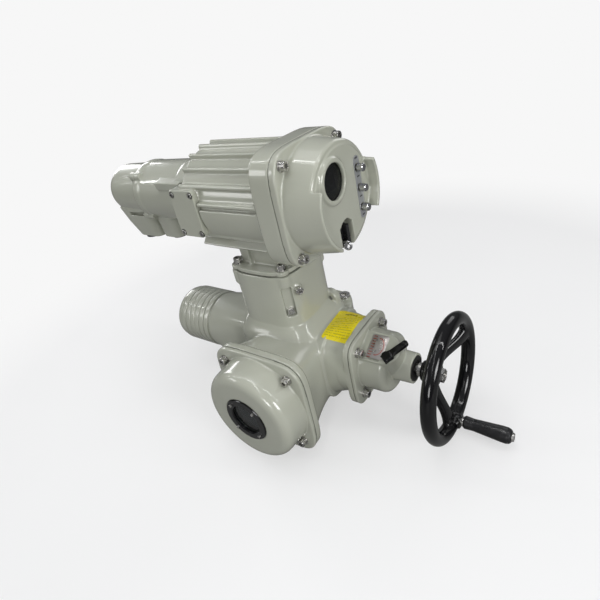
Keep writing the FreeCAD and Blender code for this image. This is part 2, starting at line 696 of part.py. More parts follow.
def make_signal_cover():
    joint_y = flange_y - 1.02
    # (along, radius): rim, outer wall, face with the window recess, inside
    pot = revolved(
        [(flange_y - 6.0, 76.0), (joint_y, 76.0), (joint_y, 83.0), (flange_y - 8.0, 82.6)]
        + corner_arc(sight_y, 80.5, 16.0, -1)
        + [(sight_y, 38.5), (sight_y + 3.2, 38.5), (sight_y + 3.2, 28.6), (sight_y + 9.3, 28.6),
           (sight_y + 9.3, 26.0), (sight_y + 11.5, 26.0), (sight_y + 11.5, 62.0),
           (sight_y + 14.0, 70.0), (sight_y + 20.0, 75.0)], case_axis, Y, X)
    rim = prism(Vector(0, joint_y, case_z), XZ, 87.0, 87.0, 5.2, Y * -6.5)
    rim = fillet(rim, lambda edge: edge.CenterOfMass.y < flange_y - 7.0, 2.0)
    rim = rim.cut(cyl_y(76.0, flange_y - 9, flange_y, 0, case_z))
    pot = pot.fuse(rim)
    holes = []
    for corner, sight in zip(signal_corners, sight_corners):
        holes.append(cyl_y(CLEAR_RAD, flange_y - 30, flange_y + 1, *corner))
        holes.append(cyl_y(8.3, flange_y - 30, flange_y - 7.52, *corner))
        holes.append(cyl_y(1.45, sight_y - 1, sight_y + 9, *sight))
    feature("signal_gear_cover", single(pot.cut(holes)))


make_signal_cover()
signal_screws = screws([Vector(x, flange_y - 7.54, z) for x, z in signal_corners],
                       Y * -1, SCREW_SIZE, 16.0)

bezel_rad = dim.sight_rad
bezel = revolved([
    (sight_y + 3.18, 26.0), (sight_y + 3.18, bezel_rad), (sight_y - 0.4, bezel_rad),
    (sight_y - 1.4, bezel_rad - 1.0), (sight_y - 1.4, 27.5), (sight_y - 0.2, 26.0)],
    case_axis, Y, X)
feature("sight_bezel", single(bezel.cut(
    cylinders(cyl_y, 1.7, sight_y - 5, sight_y + 5, sight_corners))))
compound("sight_bezel_screws", screws([Vector(x, sight_y - 1.42, z) for x, z in sight_corners],
                                      Y * -1, 3.0, 9.0, washers=False))
turned("sight_glass", "Y", tube(cell.signal_cover_y + 3.25, cell.signal_cover_y + 9.2, 28.5),
       (0.0, 0.0, cell.case_z))

# ================================================================ handwheel side
hand_bore = dim.hand_shaft_rad + dim.gap_fix
cover_x0 = arm_x + 0.82
PAD_TOP = 49.0                  # distance of the lever pad's flat from the worm axis
PIVOT_X, PIVOT_SIDE, CRANK = 170.0, 13.5, 8.0
lever_out = radial(115)
lever_across = X.cross(lever_out)

gasket("handwheel_cover_gasket",
       prism(Vector(arm_x, worm_y, worm_z), YZ, 61.7, 61.7, 5.5, X * 0.8),
       cyl_x(45.0, arm_x - 1, arm_x + 2),
       cylinders(cyl_x, CLEAR_RAD, arm_x - 1, arm_x + 2, arm_corners))


def lever_point(x, across, out):
    """A point in the frame of the lever pad, measured from the worm axis."""
    return Vector(x, worm_y, worm_z) + lever_across * across + lever_out * out


def lever_pad():
    """A flat-topped pad on the dome with a round end towards +X."""
    back_x, bend_x, half, low = cover_x0 + 2.0, 161.0, 25.0, 8.0
    back_low, bend_low = lever_point(back_x, -half, low), lever_point(bend_x, -half, low)
    back_high, bend_high = lever_point(back_x, half, low), lever_point(bend_x, half, low)
    edges = [
        Part.LineSegment(back_low, bend_low).toShape(),
        Part.Arc(bend_low, lever_point(bend_x + half, 0.0, low), bend_high).toShape(),
        Part.LineSegment(bend_high, back_high).toShape(),
        Part.LineSegment(back_high, back_low).toShape()]
    pad = Part.Face(Part.Wire(edges)).extrude(lever_out * (PAD_TOP - low))

    def top_rim(edge):
        height = (edge.CenterOfMass - worm_axis).dot(lever_out)
        return abs(height - PAD_TOP) < 0.01 and edge.CenterOfMass.x > cover_x0 + 4.0

    return fillet(pad, top_rim, 2.5)


def make_handwheel_cover():
    base = prism(Vector(cover_x0, worm_y, worm_z), YZ, 62.0, 62.0, 5.5, X * 5.5)
    base = fillet(base, lambda edge: edge.CenterOfMass.x > cover_x0 + 5.0, 1.5)
    dome = revolved([(cover_x0, 0.0), (cover_x0, 49.5)]
                    + corner_arc(dim.cover_x, dim.cover_rad, 11.0, 1)
                    + [(dim.cover_x, 0.0)], worm_axis)
    nose = Part.makeCone(25.5, dim.nose_rad - 0.5, dim.nose_x - 150.0,
                         Vector(150.0, worm_y, worm_z), X)
    cover = fuse([base, dome, nose, lever_pad()])
    crank_room = [lever_point(x, across, 12.0) for x, across in (
        (156.5, -2.0), (174.6, -2.0), (174.6, 14.0), (156.5, 14.0))]
    voids = [
        cyl_x(42.0, cover_x0 - 1, 152.0), cyl_x(21.0, 150.0, 186.0),
        cyl_x(15.0, 180.0, 197.0), cyl_x(20.0, 195.5, dim.nose_x + 1),
        rod(5.05, 40.0, lever_point(PIVOT_X, PIVOT_SIDE, 16.0), lever_out),
        rod(6.0, 10.0, lever_point(PIVOT_X, PIVOT_SIDE, 14.0), lever_out),
        slab(crank_room, lever_out * 12.0)]
    voids += cylinders(cyl_x, CLEAR_RAD, cover_x0 - 2, cover_x0 + 20, arm_corners)
    voids += cylinders(cyl_x, 8.6, cover_x0 + 5.5, cover_x0 + 40, arm_corners)
    feature("handwheel_gear_cover", single(cover.cut(voids)))


make_handwheel_cover()
compound("gear_cover_screws", signal_screws + screws(
    [Vector(cover_x0 + 5.52, y, z) for y, z in arm_corners], X, SCREW_SIZE, 16.0))
hand_run = cell.hand_shaft_rad + cell.gap_run
turned("nose_bush", "X", tube(186.2, 195.4, 14.98, hand_run), AT_WORM)
turned("nose_seal", "X", [
    (195.6, hand_run), (195.6, 19.98), (cell.nose_x + 0.6, 19.98), (cell.nose_x + 0.6, 14.0),
    (cell.nose_x - 1.4, 12.0), (cell.nose_x - 1.4, hand_run)], AT_WORM)
turned("handwheel_shaft", "X", [
    (150.5, 0.0), (150.5, cell.hand_shaft_rad), (204.0, cell.hand_shaft_rad),
    (204.0, cell.hand_shaft_rad + 3.0), (209.9, cell.hand_shaft_rad + 3.0),
    (209.9, cell.hand_shaft_rad), (242.0, cell.hand_shaft_rad), (242.0, 0.0)], AT_WORM)
groove = cyl_x(18.5, 166.65, 173.35).cut(cyl_x(11.0, 166.0, 174.0))
feature("clutch_sleeve", single(
    cyl_x(18.0, 155.0, 181.0).cut([cyl_x(8.04, 150.0, 185.0), groove])))


def make_lever_shaft():
    """The lever's pivot with a crank and a pin at its inner end."""
    pivot = lever_point(PIVOT_X, PIVOT_SIDE, 19.0)
    stem = rod(4.99, 33.4, pivot, lever_out).fuse(rod(5.6, 4.0, pivot, lever_out))
    crank_end = rod(4.0, 4.0, lever_point(PIVOT_X, PIVOT_SIDE - CRANK, 19.0), lever_out)
    link = slab([lever_point(PIVOT_X + x, PIVOT_SIDE + across, 19.0) for x, across in (
        (-4.0, 0.0), (4.0, 0.0), (3.5, -CRANK), (-3.5, -CRANK))], lever_out * 4.0)
    pin = rod(2.9, 8.0, lever_point(PIVOT_X, PIVOT_SIDE - CRANK, 12.0), lever_out)
    feature("lever_shaft", single(fuse([stem, crank_end, link, pin])))


def make_lever():
    along = (X * 17.0 - lever_across * 23.3).normalize()
    side = lever_out.cross(along)
    pivot = lever_point(PIVOT_X, PIVOT_SIDE, PAD_TOP + 0.35)
    tip = pivot + along * 34.0
    # (along, side) from the pivot
    outline = [(-7.5, -8.0), (7.0, -8.0), (10.0, -5.0), (34.0, -4.6),
               (34.0, 4.6), (10.0, 5.0), (7.0, 6.0), (-7.5, 6.0)]
    bar = slab([pivot + along * a + side * b for a, b in outline], lever_out * 6.0)
    bar = bar.fuse(rod(4.6, 6.0, tip, lever_out)).fuse(rod(7.5, 7.5, pivot, lever_out))
    bar = bar.removeSplitter().cut([
        rod(1.6, 10.0, tip - lever_out, lever_out),
        rod(5.01, 3.1, pivot - lever_out * 0.05, lever_out)])
    feature("changeover_lever", single(bar))


make_lever_shaft()
make_lever()

# spoke stations: (distance from the axis, x, half width, half thickness)
SPOKE = [(12.0, 224.0, 13.0, 8.0), (26.0, 227.0, 11.5, 7.0), (45.0, 236.0, 11.0, 6.5),
         (64.0, 246.0, 12.0, 6.5), (80.0, 251.0, 15.0, 7.5), (88.0, 252.0, 17.0, 8.0)]
grip_axis = worm_axis + radial(-89) * dim.grip_pos
grip_y, grip_z = grip_axis.y, grip_axis.z


def spoke(degrees):
    out = radial(degrees)
    plane = (X.cross(out), X)
    wires = [rounded(Vector(x, worm_y, worm_z) + out * reach, plane, wide, thick, 2.6, 20)
             for reach, x, wide, thick in SPOKE]
    return Part.makeLoft(wires, True, False)


def make_handwheel():
    rim = Part.makeTorus(dim.rim_rad, dim.rim_tube, Vector(dim.wheel_x, worm_y, worm_z), X)
    hub = revolved([(210.0, hand_bore), (210.0, 15.0), (214.0, 17.0), (232.0, 19.0),
                    (236.0, 17.0), (236.0, hand_bore)], worm_axis)
    wheel = hub.multiFuse([rim] + [spoke(degrees) for degrees in (20.0, 140.0, 260.0)])
    wheel = wheel.cut([cyl_x(hand_bore, 200.0, 250.0)])
    wheel = wheel.fuse(cyl_x(12.5, 250.0, 264.5, grip_y, grip_z))
    feature("handwheel", single(wheel.cut(cyl_x(5.02, 240.0, 266.0, grip_y, grip_z))))


make_handwheel()
nut = hexagon(Vector(236.1, worm_y, worm_z), X, Y, 19.0, 8.0)
feature("handwheel_nut", single(nut.cut(cyl_x(hand_bore, 230.0, 250.0))))

AT_GRIP = (0.0, grip_y, grip_z)
grip_end = cell.grip_x + cell.grip_long
turned("handle_spindle", "X", [
    (242.0, 0.0), (242.0, 5.0), (cell.grip_x - 3.5, 5.0), (cell.grip_x - 3.5, 7.5),
    (cell.grip_x - 1.2, 7.5), (cell.grip_x - 1.2, 4.0), (grip_end + 0.6, 4.0),
    (grip_end + 0.6, 7.0), (grip_end + 3.4, 6.0), (grip_end + 3.4, 0.0)], AT_GRIP)
turned("handle_grip", "X", [
    (cell.grip_x - 1.0, 4.05), (cell.grip_x - 1.0, 8.5), (cell.grip_x + 1.0, 10.0),
    (cell.grip_x + 14.0, 9.2), (cell.grip_x + 34.0, 10.6), (cell.grip_x + 54.0, 12.0),
    (cell.grip_x + 62.0, 12.0), (grip_end - 2.0, 10.6), (grip_end, 8.5),
    (grip_end, 4.05)], AT_GRIP)

# ================================================================ control unit on the neck
foot_z = neck_top + 1.0
foot_top = foot_z + 7.5
end_x, elec_flange_x, face_x = dim.elec_end_x, dim.elec_flange_x, dim.elec_face_x
elec_half = dim.elec_flange_half
elec_corners = corners(worm_y, elec_z, dim.elec_screw)                      # (y, z)
junction_holes = [(x, z) for x in (-136.0, -94.6) for z in (350.5, 414.0)]

gasket("neck_gasket",
       prism(Vector(neck_x, neck_y, neck_top), XY, 61.5, 61.5, 3.5, Z * 0.98),
       cyl_z(44.0, neck_top - 1, neck_top + 2, neck_x, neck_y),
       cylinders(cyl_z, CLEAR_RAD, neck_top - 1, neck_top + 2, neck_corners))

# fins by angle from +Y towards +Z; the tall ones stand on the underside
FIN_ANGLES = (172, 153, 134, 116, 98, 80, 62, 44, 26, 8, -10, -28, -46, -62, -118, -132, -146)
TALL_FINS = (-46, -62, -118, -132)


def fin(degrees):
    out = radial(degrees)
    side = X.cross(out)
    centre = Vector(end_x, worm_y, elec_z)
    tip = dim.fin_rad
    # (out, side) section
    if degrees in TALL_FINS:
        tip += 8.0
        section = [(70.0, -3.5), (tip, -2.0), (tip, 2.0), (70.0, 3.5)]
    else:
        section = [(70.0, -6.5), (tip, -2.4), (tip + 0.5, 0.0), (tip, 2.4), (70.0, 6.5)]
    return slab([centre + out * a + side * b for a, b in section],
                X * (elec_flange_x + 6 - end_x))


def wedge(x, angles, reach, length):
    """A fan about the control unit axis, extruded towards +X."""
    apex = Vector(x, worm_y, elec_z)
    return slab([apex] + [apex + radial(degrees) * reach for degrees in angles], X * length)


def make_electronics_housing():
    foot = prism(Vector(neck_x, neck_y, foot_z), XY, 60.5, 60.5, 3.5, Z * 7.5)
    foot = foot.fuse(cylinders(cyl_z, 11.0, foot_z, foot_top, neck_corners)).removeSplitter()
    column = loft(XY, [
        (neck_x, neck_y, foot_z + 5.0, 49.0, 39.0, 6.0),
        (neck_x + 2, neck_y, 318.0, 52.0, 41.0, 6.0),
        (neck_x + 2, neck_y, 345.0, 52.0, 41.0, 6.0)])
    ribs = [box(5.0, 8.0, 58.0, neck_x - 20.0, neck_y + y, foot_z + 5.0) for y in (-46.0, 38.0)]
    core = cyl_x(dim.elec_core, end_x, elec_flange_x + 4, z=elec_z)
    # smooth panel over the fins on the -Y side
    sector = cyl_x(dim.fin_rad - 1.0, end_x + 4, elec_flange_x + 4, z=elec_z)
    panel = sector.common(wedge(-200, (178, 200, 218), 150.0, 400.0))
    flange_plate = prism(Vector(elec_flange_x, worm_y, elec_z), YZ, elec_half, elec_half, 4.8,
                         X * (face_x - elec_flange_x))
    flange_taper = loft(YZ, [
        (elec_flange_x - 10.0, worm_y, elec_z, 78.0, 78.0, 3.0),
        (elec_flange_x, worm_y, elec_z, elec_half, elec_half, 4.8)])
    junction = fillet(box(54.0, 26.0, 78.0, -143.0, -128.0, 344.0), runs_along_y, 7.0)
    body = core.multiFuse([fin(degrees) for degrees in FIN_ANGLES] + [panel, junction])
    body = body.fuse(flange_taper)
    body = body.fuse(flange_plate)
    body = body.fuse(column)
    body = body.multiFuse([foot] + ribs)
    voids = [cyl_x(69.0, end_x + 8, face_x + 1, z=elec_z),
             cyl_x(52.0, end_x - 1, end_x + 10, z=elec_z),
             cyl_z(30.0, foot_z - 1, 330.0, neck_x, neck_y),
             cyl_x(57.2, end_x - 20.0, end_x - 0.02, z=elec_z)]
    voids += cylinders(cyl_x, TAP_RAD, face_x - 24, face_x + 1, elec_corners)
    voids += cylinders(cyl_z, CLEAR_RAD, foot_z - 1, foot_z + 8, neck_corners)
    voids += cylinders(cyl_z, 8.4, foot_top, foot_z + 30, neck_corners)
    voids += cylinders(cyl_y, 2.5, -129.0, -114.0, junction_holes)
    voids.append(box(57.0, 24.0, 82.0, -144.5, -151.98, 342.0))
    for void in voids:
        body = body.cut(void)
    feature("electronics_housing", single(body))


make_electronics_housing()
foot_screws = screws([Vector(x, y, foot_top + 0.02) for x, y in neck_corners],
                     Z, SCREW_SIZE, 25.0)

junction_cover = fillet(box(54.0, 8.98, 78.0, -143.0, -137.0, 344.0), runs_along_y, 7.0)
junction_cover = fillet(junction_cover, lambda edge: edge.CenterOfMass.y < -136.9, 1.5)
feature("junction_cover", single(junction_cover.cut(
    cylinders(cyl_y, 2.7, -140.0, -120.0, junction_holes)
    + cylinders(cyl_y, 5.4, -140.0, -133.0, junction_holes))))
junction_screws = screws([Vector(x, -133.02, z) for x, z in junction_holes],
                         Y * -1, 5.0, 18.0, washers=False)

gasket("electronics_cover_gasket",
       prism(Vector(face_x, worm_y, elec_z), YZ, 86.0, 86.0, 4.8, X * 0.98),
       cyl_x(72.0, face_x - 1, face_x + 2, z=elec_z),
       cylinders(cyl_x, CLEAR_RAD, face_x - 1, face_x + 2, elec_corners))

# cover on the +X end, with a window, three buttons and a selector
front_x = face_x + 1.0
window_y, window_z = worm_y - 22.0, elec_z + 30.0
window_axis = Vector(0, window_y, window_z)
selector = (worm_y - 7.0, elec_z - 50.0)
buttons = [(worm_y + 43.0, elec_z + z) for z in (27.0, -3.0, -33.0)]


def shroud_wall(end_rad, inner, wall_end, first, last):
    """An arc of the shroud between two angles, from +Y towards +Z."""
    wall = revolved([(112.0, inner), (112.0, 78.8), (wall_end, end_rad), (wall_end, inner)],
                    elec_axis)
    angles = [first + (last - first) * k / 6 for k in range(7)]
    return wall.common(wedge(111.0, angles, 140.0, 60.0))


def make_electronics_cover():
    base = prism(Vector(front_x, worm_y, elec_z), YZ, elec_half, elec_half, 4.8, X * 10.0)
    base = fillet(base, lambda edge: edge.CenterOfMass.x > front_x + 9.5, 2.0)
    drum = revolved([
        (front_x, 0.0), (front_x, 84.5), (front_x + 16.0, 83.5), (117.0, 78.3), (119.5, 75.5),
        (119.5, 71.5), (121.0, 70.0), (121.0, 0.0)], elec_axis)
    minus_y_wall = shroud_wall(76.6, 71.5, dim.cover_edge, 154.0, 236.0)
    plus_y_wall = shroud_wall(76.4, 71.0, dim.cover_edge + 4.0, -32.0, 26.0)
    window_ring = revolved([(112.0, 0.0), (112.0, 33.5), (121.0, 33.5), (124.0, 31.0),
                            (125.0, 29.0), (125.0, 0.0)], window_axis)
    cover = fuse([base, drum, minus_y_wall, plus_y_wall, window_ring])
    notch = box(30.0, 34.0, 60.0, 106.0, worm_y - 24.0, elec_z - 98.0).fuse(
        cyl_x(17.0, 106.0, 136.0, worm_y - 7.0, elec_z - 48.0))
    # the upper hollow leaves material behind the notch
    hollow = cyl_x(62.0, 97.0, 113.0, z=elec_z).cut(
        box(30.0, 52.0, 80.0, 90.0, worm_y - 33.0, elec_z - 111.0))
    voids = [cyl_x(69.0, front_x - 1, 98.0, z=elec_z), hollow, notch,
             cyl_x(25.0, 110.0, 130.0, window_y, window_z),
             cyl_x(27.5, 112.0, 119.0, window_y, window_z)]
    voids += cylinders(cyl_x, CLEAR_RAD, front_x - 1, front_x + 20, elec_corners)
    voids += cylinders(cyl_x, 8.4, front_x + 10.0, front_x + 60, elec_corners)
    voids += cylinders(cyl_x, 4.55, 105.0, 125.0, buttons)
    voids.append(cyl_x(5.05, 90.0, 110.0, *selector))
    feature("electronics_cover", single(cover.cut(voids)))


make_electronics_cover()
compound("control_unit_screws", foot_screws + screws(
    [Vector(front_x + 10.02, y, z) for y, z in elec_corners], X, SCREW_SIZE, 25.0))

turned("display_window", "X", tube(112.2, 118.9, 27.4), (0.0, window_y, window_z))
feature("display_module", fillet(
    box(8.0, 38.0, 30.0, 100.0, window_y - 18.0, window_z - 16.0),
    lambda edge: edge.CenterOfMass.x > 107.9, 1.0))
for number, (y, z) in enumerate(buttons, 1):
    turned("button_%d" % number, "X", [
        (107.5, 0.0), (107.5, 6.5), (112.4, 6.5), (112.4, 4.5), (124.2, 4.5), (124.2, 6.0),
        (132.0, 6.0), (133.0, 5.0), (133.0, 0.0)], (0.0, y, z))
knob = cyl_x(4.99, 92.0, 107.0, *selector).fuse([
    cyl_x(12.5, 106.4, 114.0, *selector),
    box(10.0, 7.0, 30.0, 112.0, selector[0] - 3.5, selector[1] - 19.0)])
feature("selector_knob", single(knob.removeSplitter()))
hasp_y, hasp_z = worm_y - 18.0, elec_z - 66.0
feature("lock_hasp", single(cyl_x(4.5, 106.02, 122.0, hasp_y, hasp_z).fuse(
    Part.makeTorus(6.0, 1.8, Vector(124.0, hasp_y, hasp_z), Y))))

# inside the control unit
compound("circuit_boards", [
    box(1.6, 96.0, 96.0, 40.0, worm_y - 48.0, elec_z - 48.0),
    box(120.0, 90.0, 1.6, -100.0, worm_y - 45.0, elec_z - 36.0)])
feature("transformer", fillet(box(46.0, 46.0, 40.0, -85.0, worm_y - 23.0, elec_z - 34.3),
                              lambda edge: True, 2.0))

# ================================================================ wiring compartment
ring_start, ring_end, cap_end = end_x - 0.05, dim.conn_end, dim.cap_end
lug_points = [elec_axis + radial(degrees) * 52.0 for degrees in (45, 135, 225, 315)]
lug_places = [(point.y, point.z) for point in lug_points]
# cable entries from below: (x, y, radius)
CAP_ENTRY = (-330.0, worm_y - 10.0, 16.5)
RING_ENTRY = (-254.0, worm_y - 8.0, 12.5)
SMALL_ENTRY = (-334.0, worm_y + 21.0, 8.0)


def entry_bore(entry, z0, z1):
    x, y, radius = entry
    return cyl_z(radius, z0, z1, x, y)


def make_connection_housing():
    rad = dim.conn_rad
    shell = revolved([
        (ring_start, 0.0), (ring_start, rad), (-168.0, rad), (-172.0, rad - 1.0),
        (ring_end + 14.0, rad - 2.5), (ring_end + 10.0, rad - 1.5), (ring_end + 0.8, rad - 1.5),
        (ring_end, rad - 2.5), (ring_end, 0.0)], elec_axis)
    top_boss = box(62.0, 26.0, 14.0, -212.0, worm_y - 49.0, elec_z + 31.0)
    top_boss.rotate(Vector(-190.0, worm_y, elec_z), X, 12)
    ribs = []
    for k in range(3):
        rib = box(19.0, 4.0, 7.0, -165.0, worm_y - 41.0 + k * 9.0, elec_z + 40.0)
        rib.rotate(Vector(-165.0, worm_y, elec_z), X, 14)
        ribs.append(rib)
    lugs = cylinders(cyl_x, 8.0, ring_end, ring_end + 16.0, lug_places)
    entry_box = loft(XY, [(-254.0, worm_y, 352.0, 27.5, 36.0, 4.5),
                          (-254.0, worm_y, 303.0, 25.0, 31.0, 4.5)])
    body = fuse([shell, top_boss, entry_box] + ribs + lugs)
    body = body.cut([entry_bore(RING_ENTRY, 298.0, 345.0)])
    body = body.cut([cyl_x(49.0, ring_end - 1, ring_start - 6.0, z=elec_z),
                     cyl_x(40.0, ring_start - 8.0, ring_start + 1, z=elec_z)])
    feature("connection_housing", single(body.cut(
        cylinders(cyl_x, 2.5, ring_end - 1, ring_end + 12.0, lug_places))))


def make_terminal_cover():
    joint_x = ring_end - 0.05
    shell = revolved(
        [(joint_x, 0.0), (joint_x, dim.conn_rad - 2.5), (ring_end - 6.0, dim.conn_rad - 3.0),
         (ring_end - 8.0, dim.cap_rad + 2.5)]
        + corner_arc(cap_end, dim.cap_rad, 26.0, -1) + [(cap_end, 0.0)], elec_axis)
    lugs = cylinders(cyl_x, 8.0, ring_end - 12.0, joint_x, lug_places)
    bulge = cyl_x(13.0, cap_end - 7.0, cap_end + 10.0, z=elec_z - 16.0)
    bulge = fillet(bulge,
                   lambda edge: edge.Closed and edge.CenterOfMass.x < cap_end - 6.5, 5.0)
    entry_box = loft(XY, [
        (-334.0, worm_y, 360.0, 49.0, 42.0, 5.0), (-328.0, worm_y, 330.0, 43.0, 38.0, 5.0),
        (-320.0, worm_y, 300.0, 34.5, 33.0, 4.5)], ruled=True)
    body = fuse([shell, entry_box, bulge] + lugs)
    voids = [cyl_x(42.0, cap_end + 12.0, ring_end + 1, z=elec_z),
             entry_bore(CAP_ENTRY, 295.0, 352.0), entry_bore(SMALL_ENTRY, 295.0, 352.0)]
    voids += cylinders(cyl_x, 2.7, ring_end - 13.0, ring_end + 1, lug_places)
    voids += cylinders(cyl_x, 5.0, ring_end - 60.0, ring_end - 12.0, lug_places)
    feature("terminal_cover", single(body.cut(voids)))


def entry_plug(entry, face):
    """A plug with a hexagon socket, its flange under the face at height `face`."""
    x, y, radius = entry
    plug = cyl_z(radius + 2.5, face - 5.5, face - 0.05, x, y).fuse(
        cyl_z(radius - 0.05, face - 1.0, face + 12.0, x, y))
    return single(plug.cut(hexagon(Vector(x, y, face - 7.0), Z, X, radius, 4.5)))


make_connection_housing()
make_terminal_cover()
compound("small_cover_screws", junction_screws + screws(
    [Vector(ring_end - 12.02, y, z) for y, z in lug_places], X * -1, 5.0, 18.0, washers=False))
compound("cable_entry_plugs", [entry_plug(CAP_ENTRY, 300.0), entry_plug(RING_ENTRY, 303.0)])
terminals = [box(10.0, 60.0, 14.0, -262.0, worm_y - 30.0, elec_z - 30.0 + 22.0 * k)
             for k in range(3)]
feature("terminal_block", single(fuse([
    box(4.0, 66.0, 66.0, -252.0, worm_y - 33.0, elec_z - 33.0),
    cyl_x(48.9, -248.0, -243.0, z=elec_z)] + terminals)))

# neck plug, and the earth screw in the neck's pocket
feature("neck_plug", single(cap_screw(plug_face + plug_dir * 0.02, plug_dir, 7.6, 12.0)))
feature("earth_screw", single(rod(2.95, 12.0, earth_seat, pocket_dir * -1).fuse(
    hexagon(earth_seat + pocket_dir * 0.02, pocket_dir, Z, 10.0, 5.0))))

# ================================================================ check and write
doc.recompute()
bad = []
for obj in doc.Objects:
    if any(flag in ("Invalid", "Error") for flag in obj.State):
        bad.append("%s %s" % (obj.Name, obj.State))
for obj in nodes:
    if obj.Shape.isNull() or not obj.Shape.isValid() or not obj.Shape.Solids:
        bad.append("%s has no valid shape" % obj.Label)
labels = [obj.Label for obj in nodes]
if len(set(labels)) != len(labels) or len(labels) > 60:
    bad.append("labels are not unique or there are more than 60")
if bad:
    raise RuntimeError("%d nodes: %s" % (len(labels), "; ".join(bad)))
os.makedirs("parts", exist_ok=True)
for obj in nodes:
    obj.Shape.exportStep("parts/%s.step" % obj.Label)
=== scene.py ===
"""Electric gear actuator: gear housing, motor, handwheel and control unit.

Metres, +Z up, standing on a floor just below z = 0. The worm axis, which the motor and handwheel
share, runs along X; the control unit lies above it. The camera looks from the +X, -Y side. The CAD
pieces are painted, the castings get soft edges, and two plates, a label and the stage are added.
"""

import json
import math

import bmesh
import bpy
from mathutils import Matrix, Vector
from mathutils.bvhtree import BVHTree

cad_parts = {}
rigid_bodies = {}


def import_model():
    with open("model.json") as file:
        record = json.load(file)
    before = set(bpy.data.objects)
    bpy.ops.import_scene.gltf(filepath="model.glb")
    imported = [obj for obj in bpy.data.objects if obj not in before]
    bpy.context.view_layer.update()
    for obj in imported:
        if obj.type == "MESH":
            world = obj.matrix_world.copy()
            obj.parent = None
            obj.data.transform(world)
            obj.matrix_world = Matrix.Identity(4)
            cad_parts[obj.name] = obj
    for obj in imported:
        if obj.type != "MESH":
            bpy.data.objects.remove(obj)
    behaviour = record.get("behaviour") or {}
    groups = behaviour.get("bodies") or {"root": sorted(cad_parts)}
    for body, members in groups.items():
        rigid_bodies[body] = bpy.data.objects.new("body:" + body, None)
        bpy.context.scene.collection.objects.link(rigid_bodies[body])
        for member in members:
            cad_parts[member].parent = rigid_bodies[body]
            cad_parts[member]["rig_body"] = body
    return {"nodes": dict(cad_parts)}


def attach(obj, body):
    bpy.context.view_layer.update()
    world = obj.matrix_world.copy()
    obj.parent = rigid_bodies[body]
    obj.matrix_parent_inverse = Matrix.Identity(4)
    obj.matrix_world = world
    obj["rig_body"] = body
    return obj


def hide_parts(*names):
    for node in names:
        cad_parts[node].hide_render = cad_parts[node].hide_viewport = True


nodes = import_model()["nodes"]
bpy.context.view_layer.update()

# ---------------------------------------------------------------- main places
WORM_Y, WORM_Z = -0.0525, 0.104
CONTROL_Y, CONTROL_Z = -0.0525, 0.3873
ARM_RADIUS = 0.063                    # of the housing arm, about the worm axis

# flat pad of the changeover lever: its normal leans from +Z towards -Y
PAD_ANGLE = math.radians(115)         # about the worm axis, from +Y towards +Z
PAD_NORMAL = Vector((0, math.cos(PAD_ANGLE), math.sin(PAD_ANGLE)))
PAD_ALONG = Vector((0, -math.sin(PAD_ANGLE), math.cos(PAD_ANGLE)))


# ---------------------------------------------------------------- shader graphs
class Graph:
    """Builds nodes in a node tree, emptied first."""

    def __init__(self, tree):
        self.tree = tree
        tree.nodes.clear()

    def new(self, kind, inputs=None, **settings):
        """A node with its settings; each input is a value, or a socket to link from."""
        node = self.tree.nodes.new(kind)
        for key, value in settings.items():
            setattr(node, key, value)
        for key, value in (inputs or {}).items():
            self.put(node.inputs[key], value)
        return node

    def put(self, socket, value):
        if isinstance(value, bpy.types.NodeSocket):
            self.tree.links.new(value, socket)
        else:
            socket.default_value = value

    def ramp(self, fac, stops):
        """Colour ramp with two stops of (position, colour)."""
        node = self.new("ShaderNodeValToRGB", {0: fac})
        for element, (position, colour) in zip(node.color_ramp.elements, stops):
            element.position = position
            element.color = colour
        return node.outputs[0]

    def split(self, vector):
        return self.new("ShaderNodeSeparateXYZ", {0: vector}).outputs


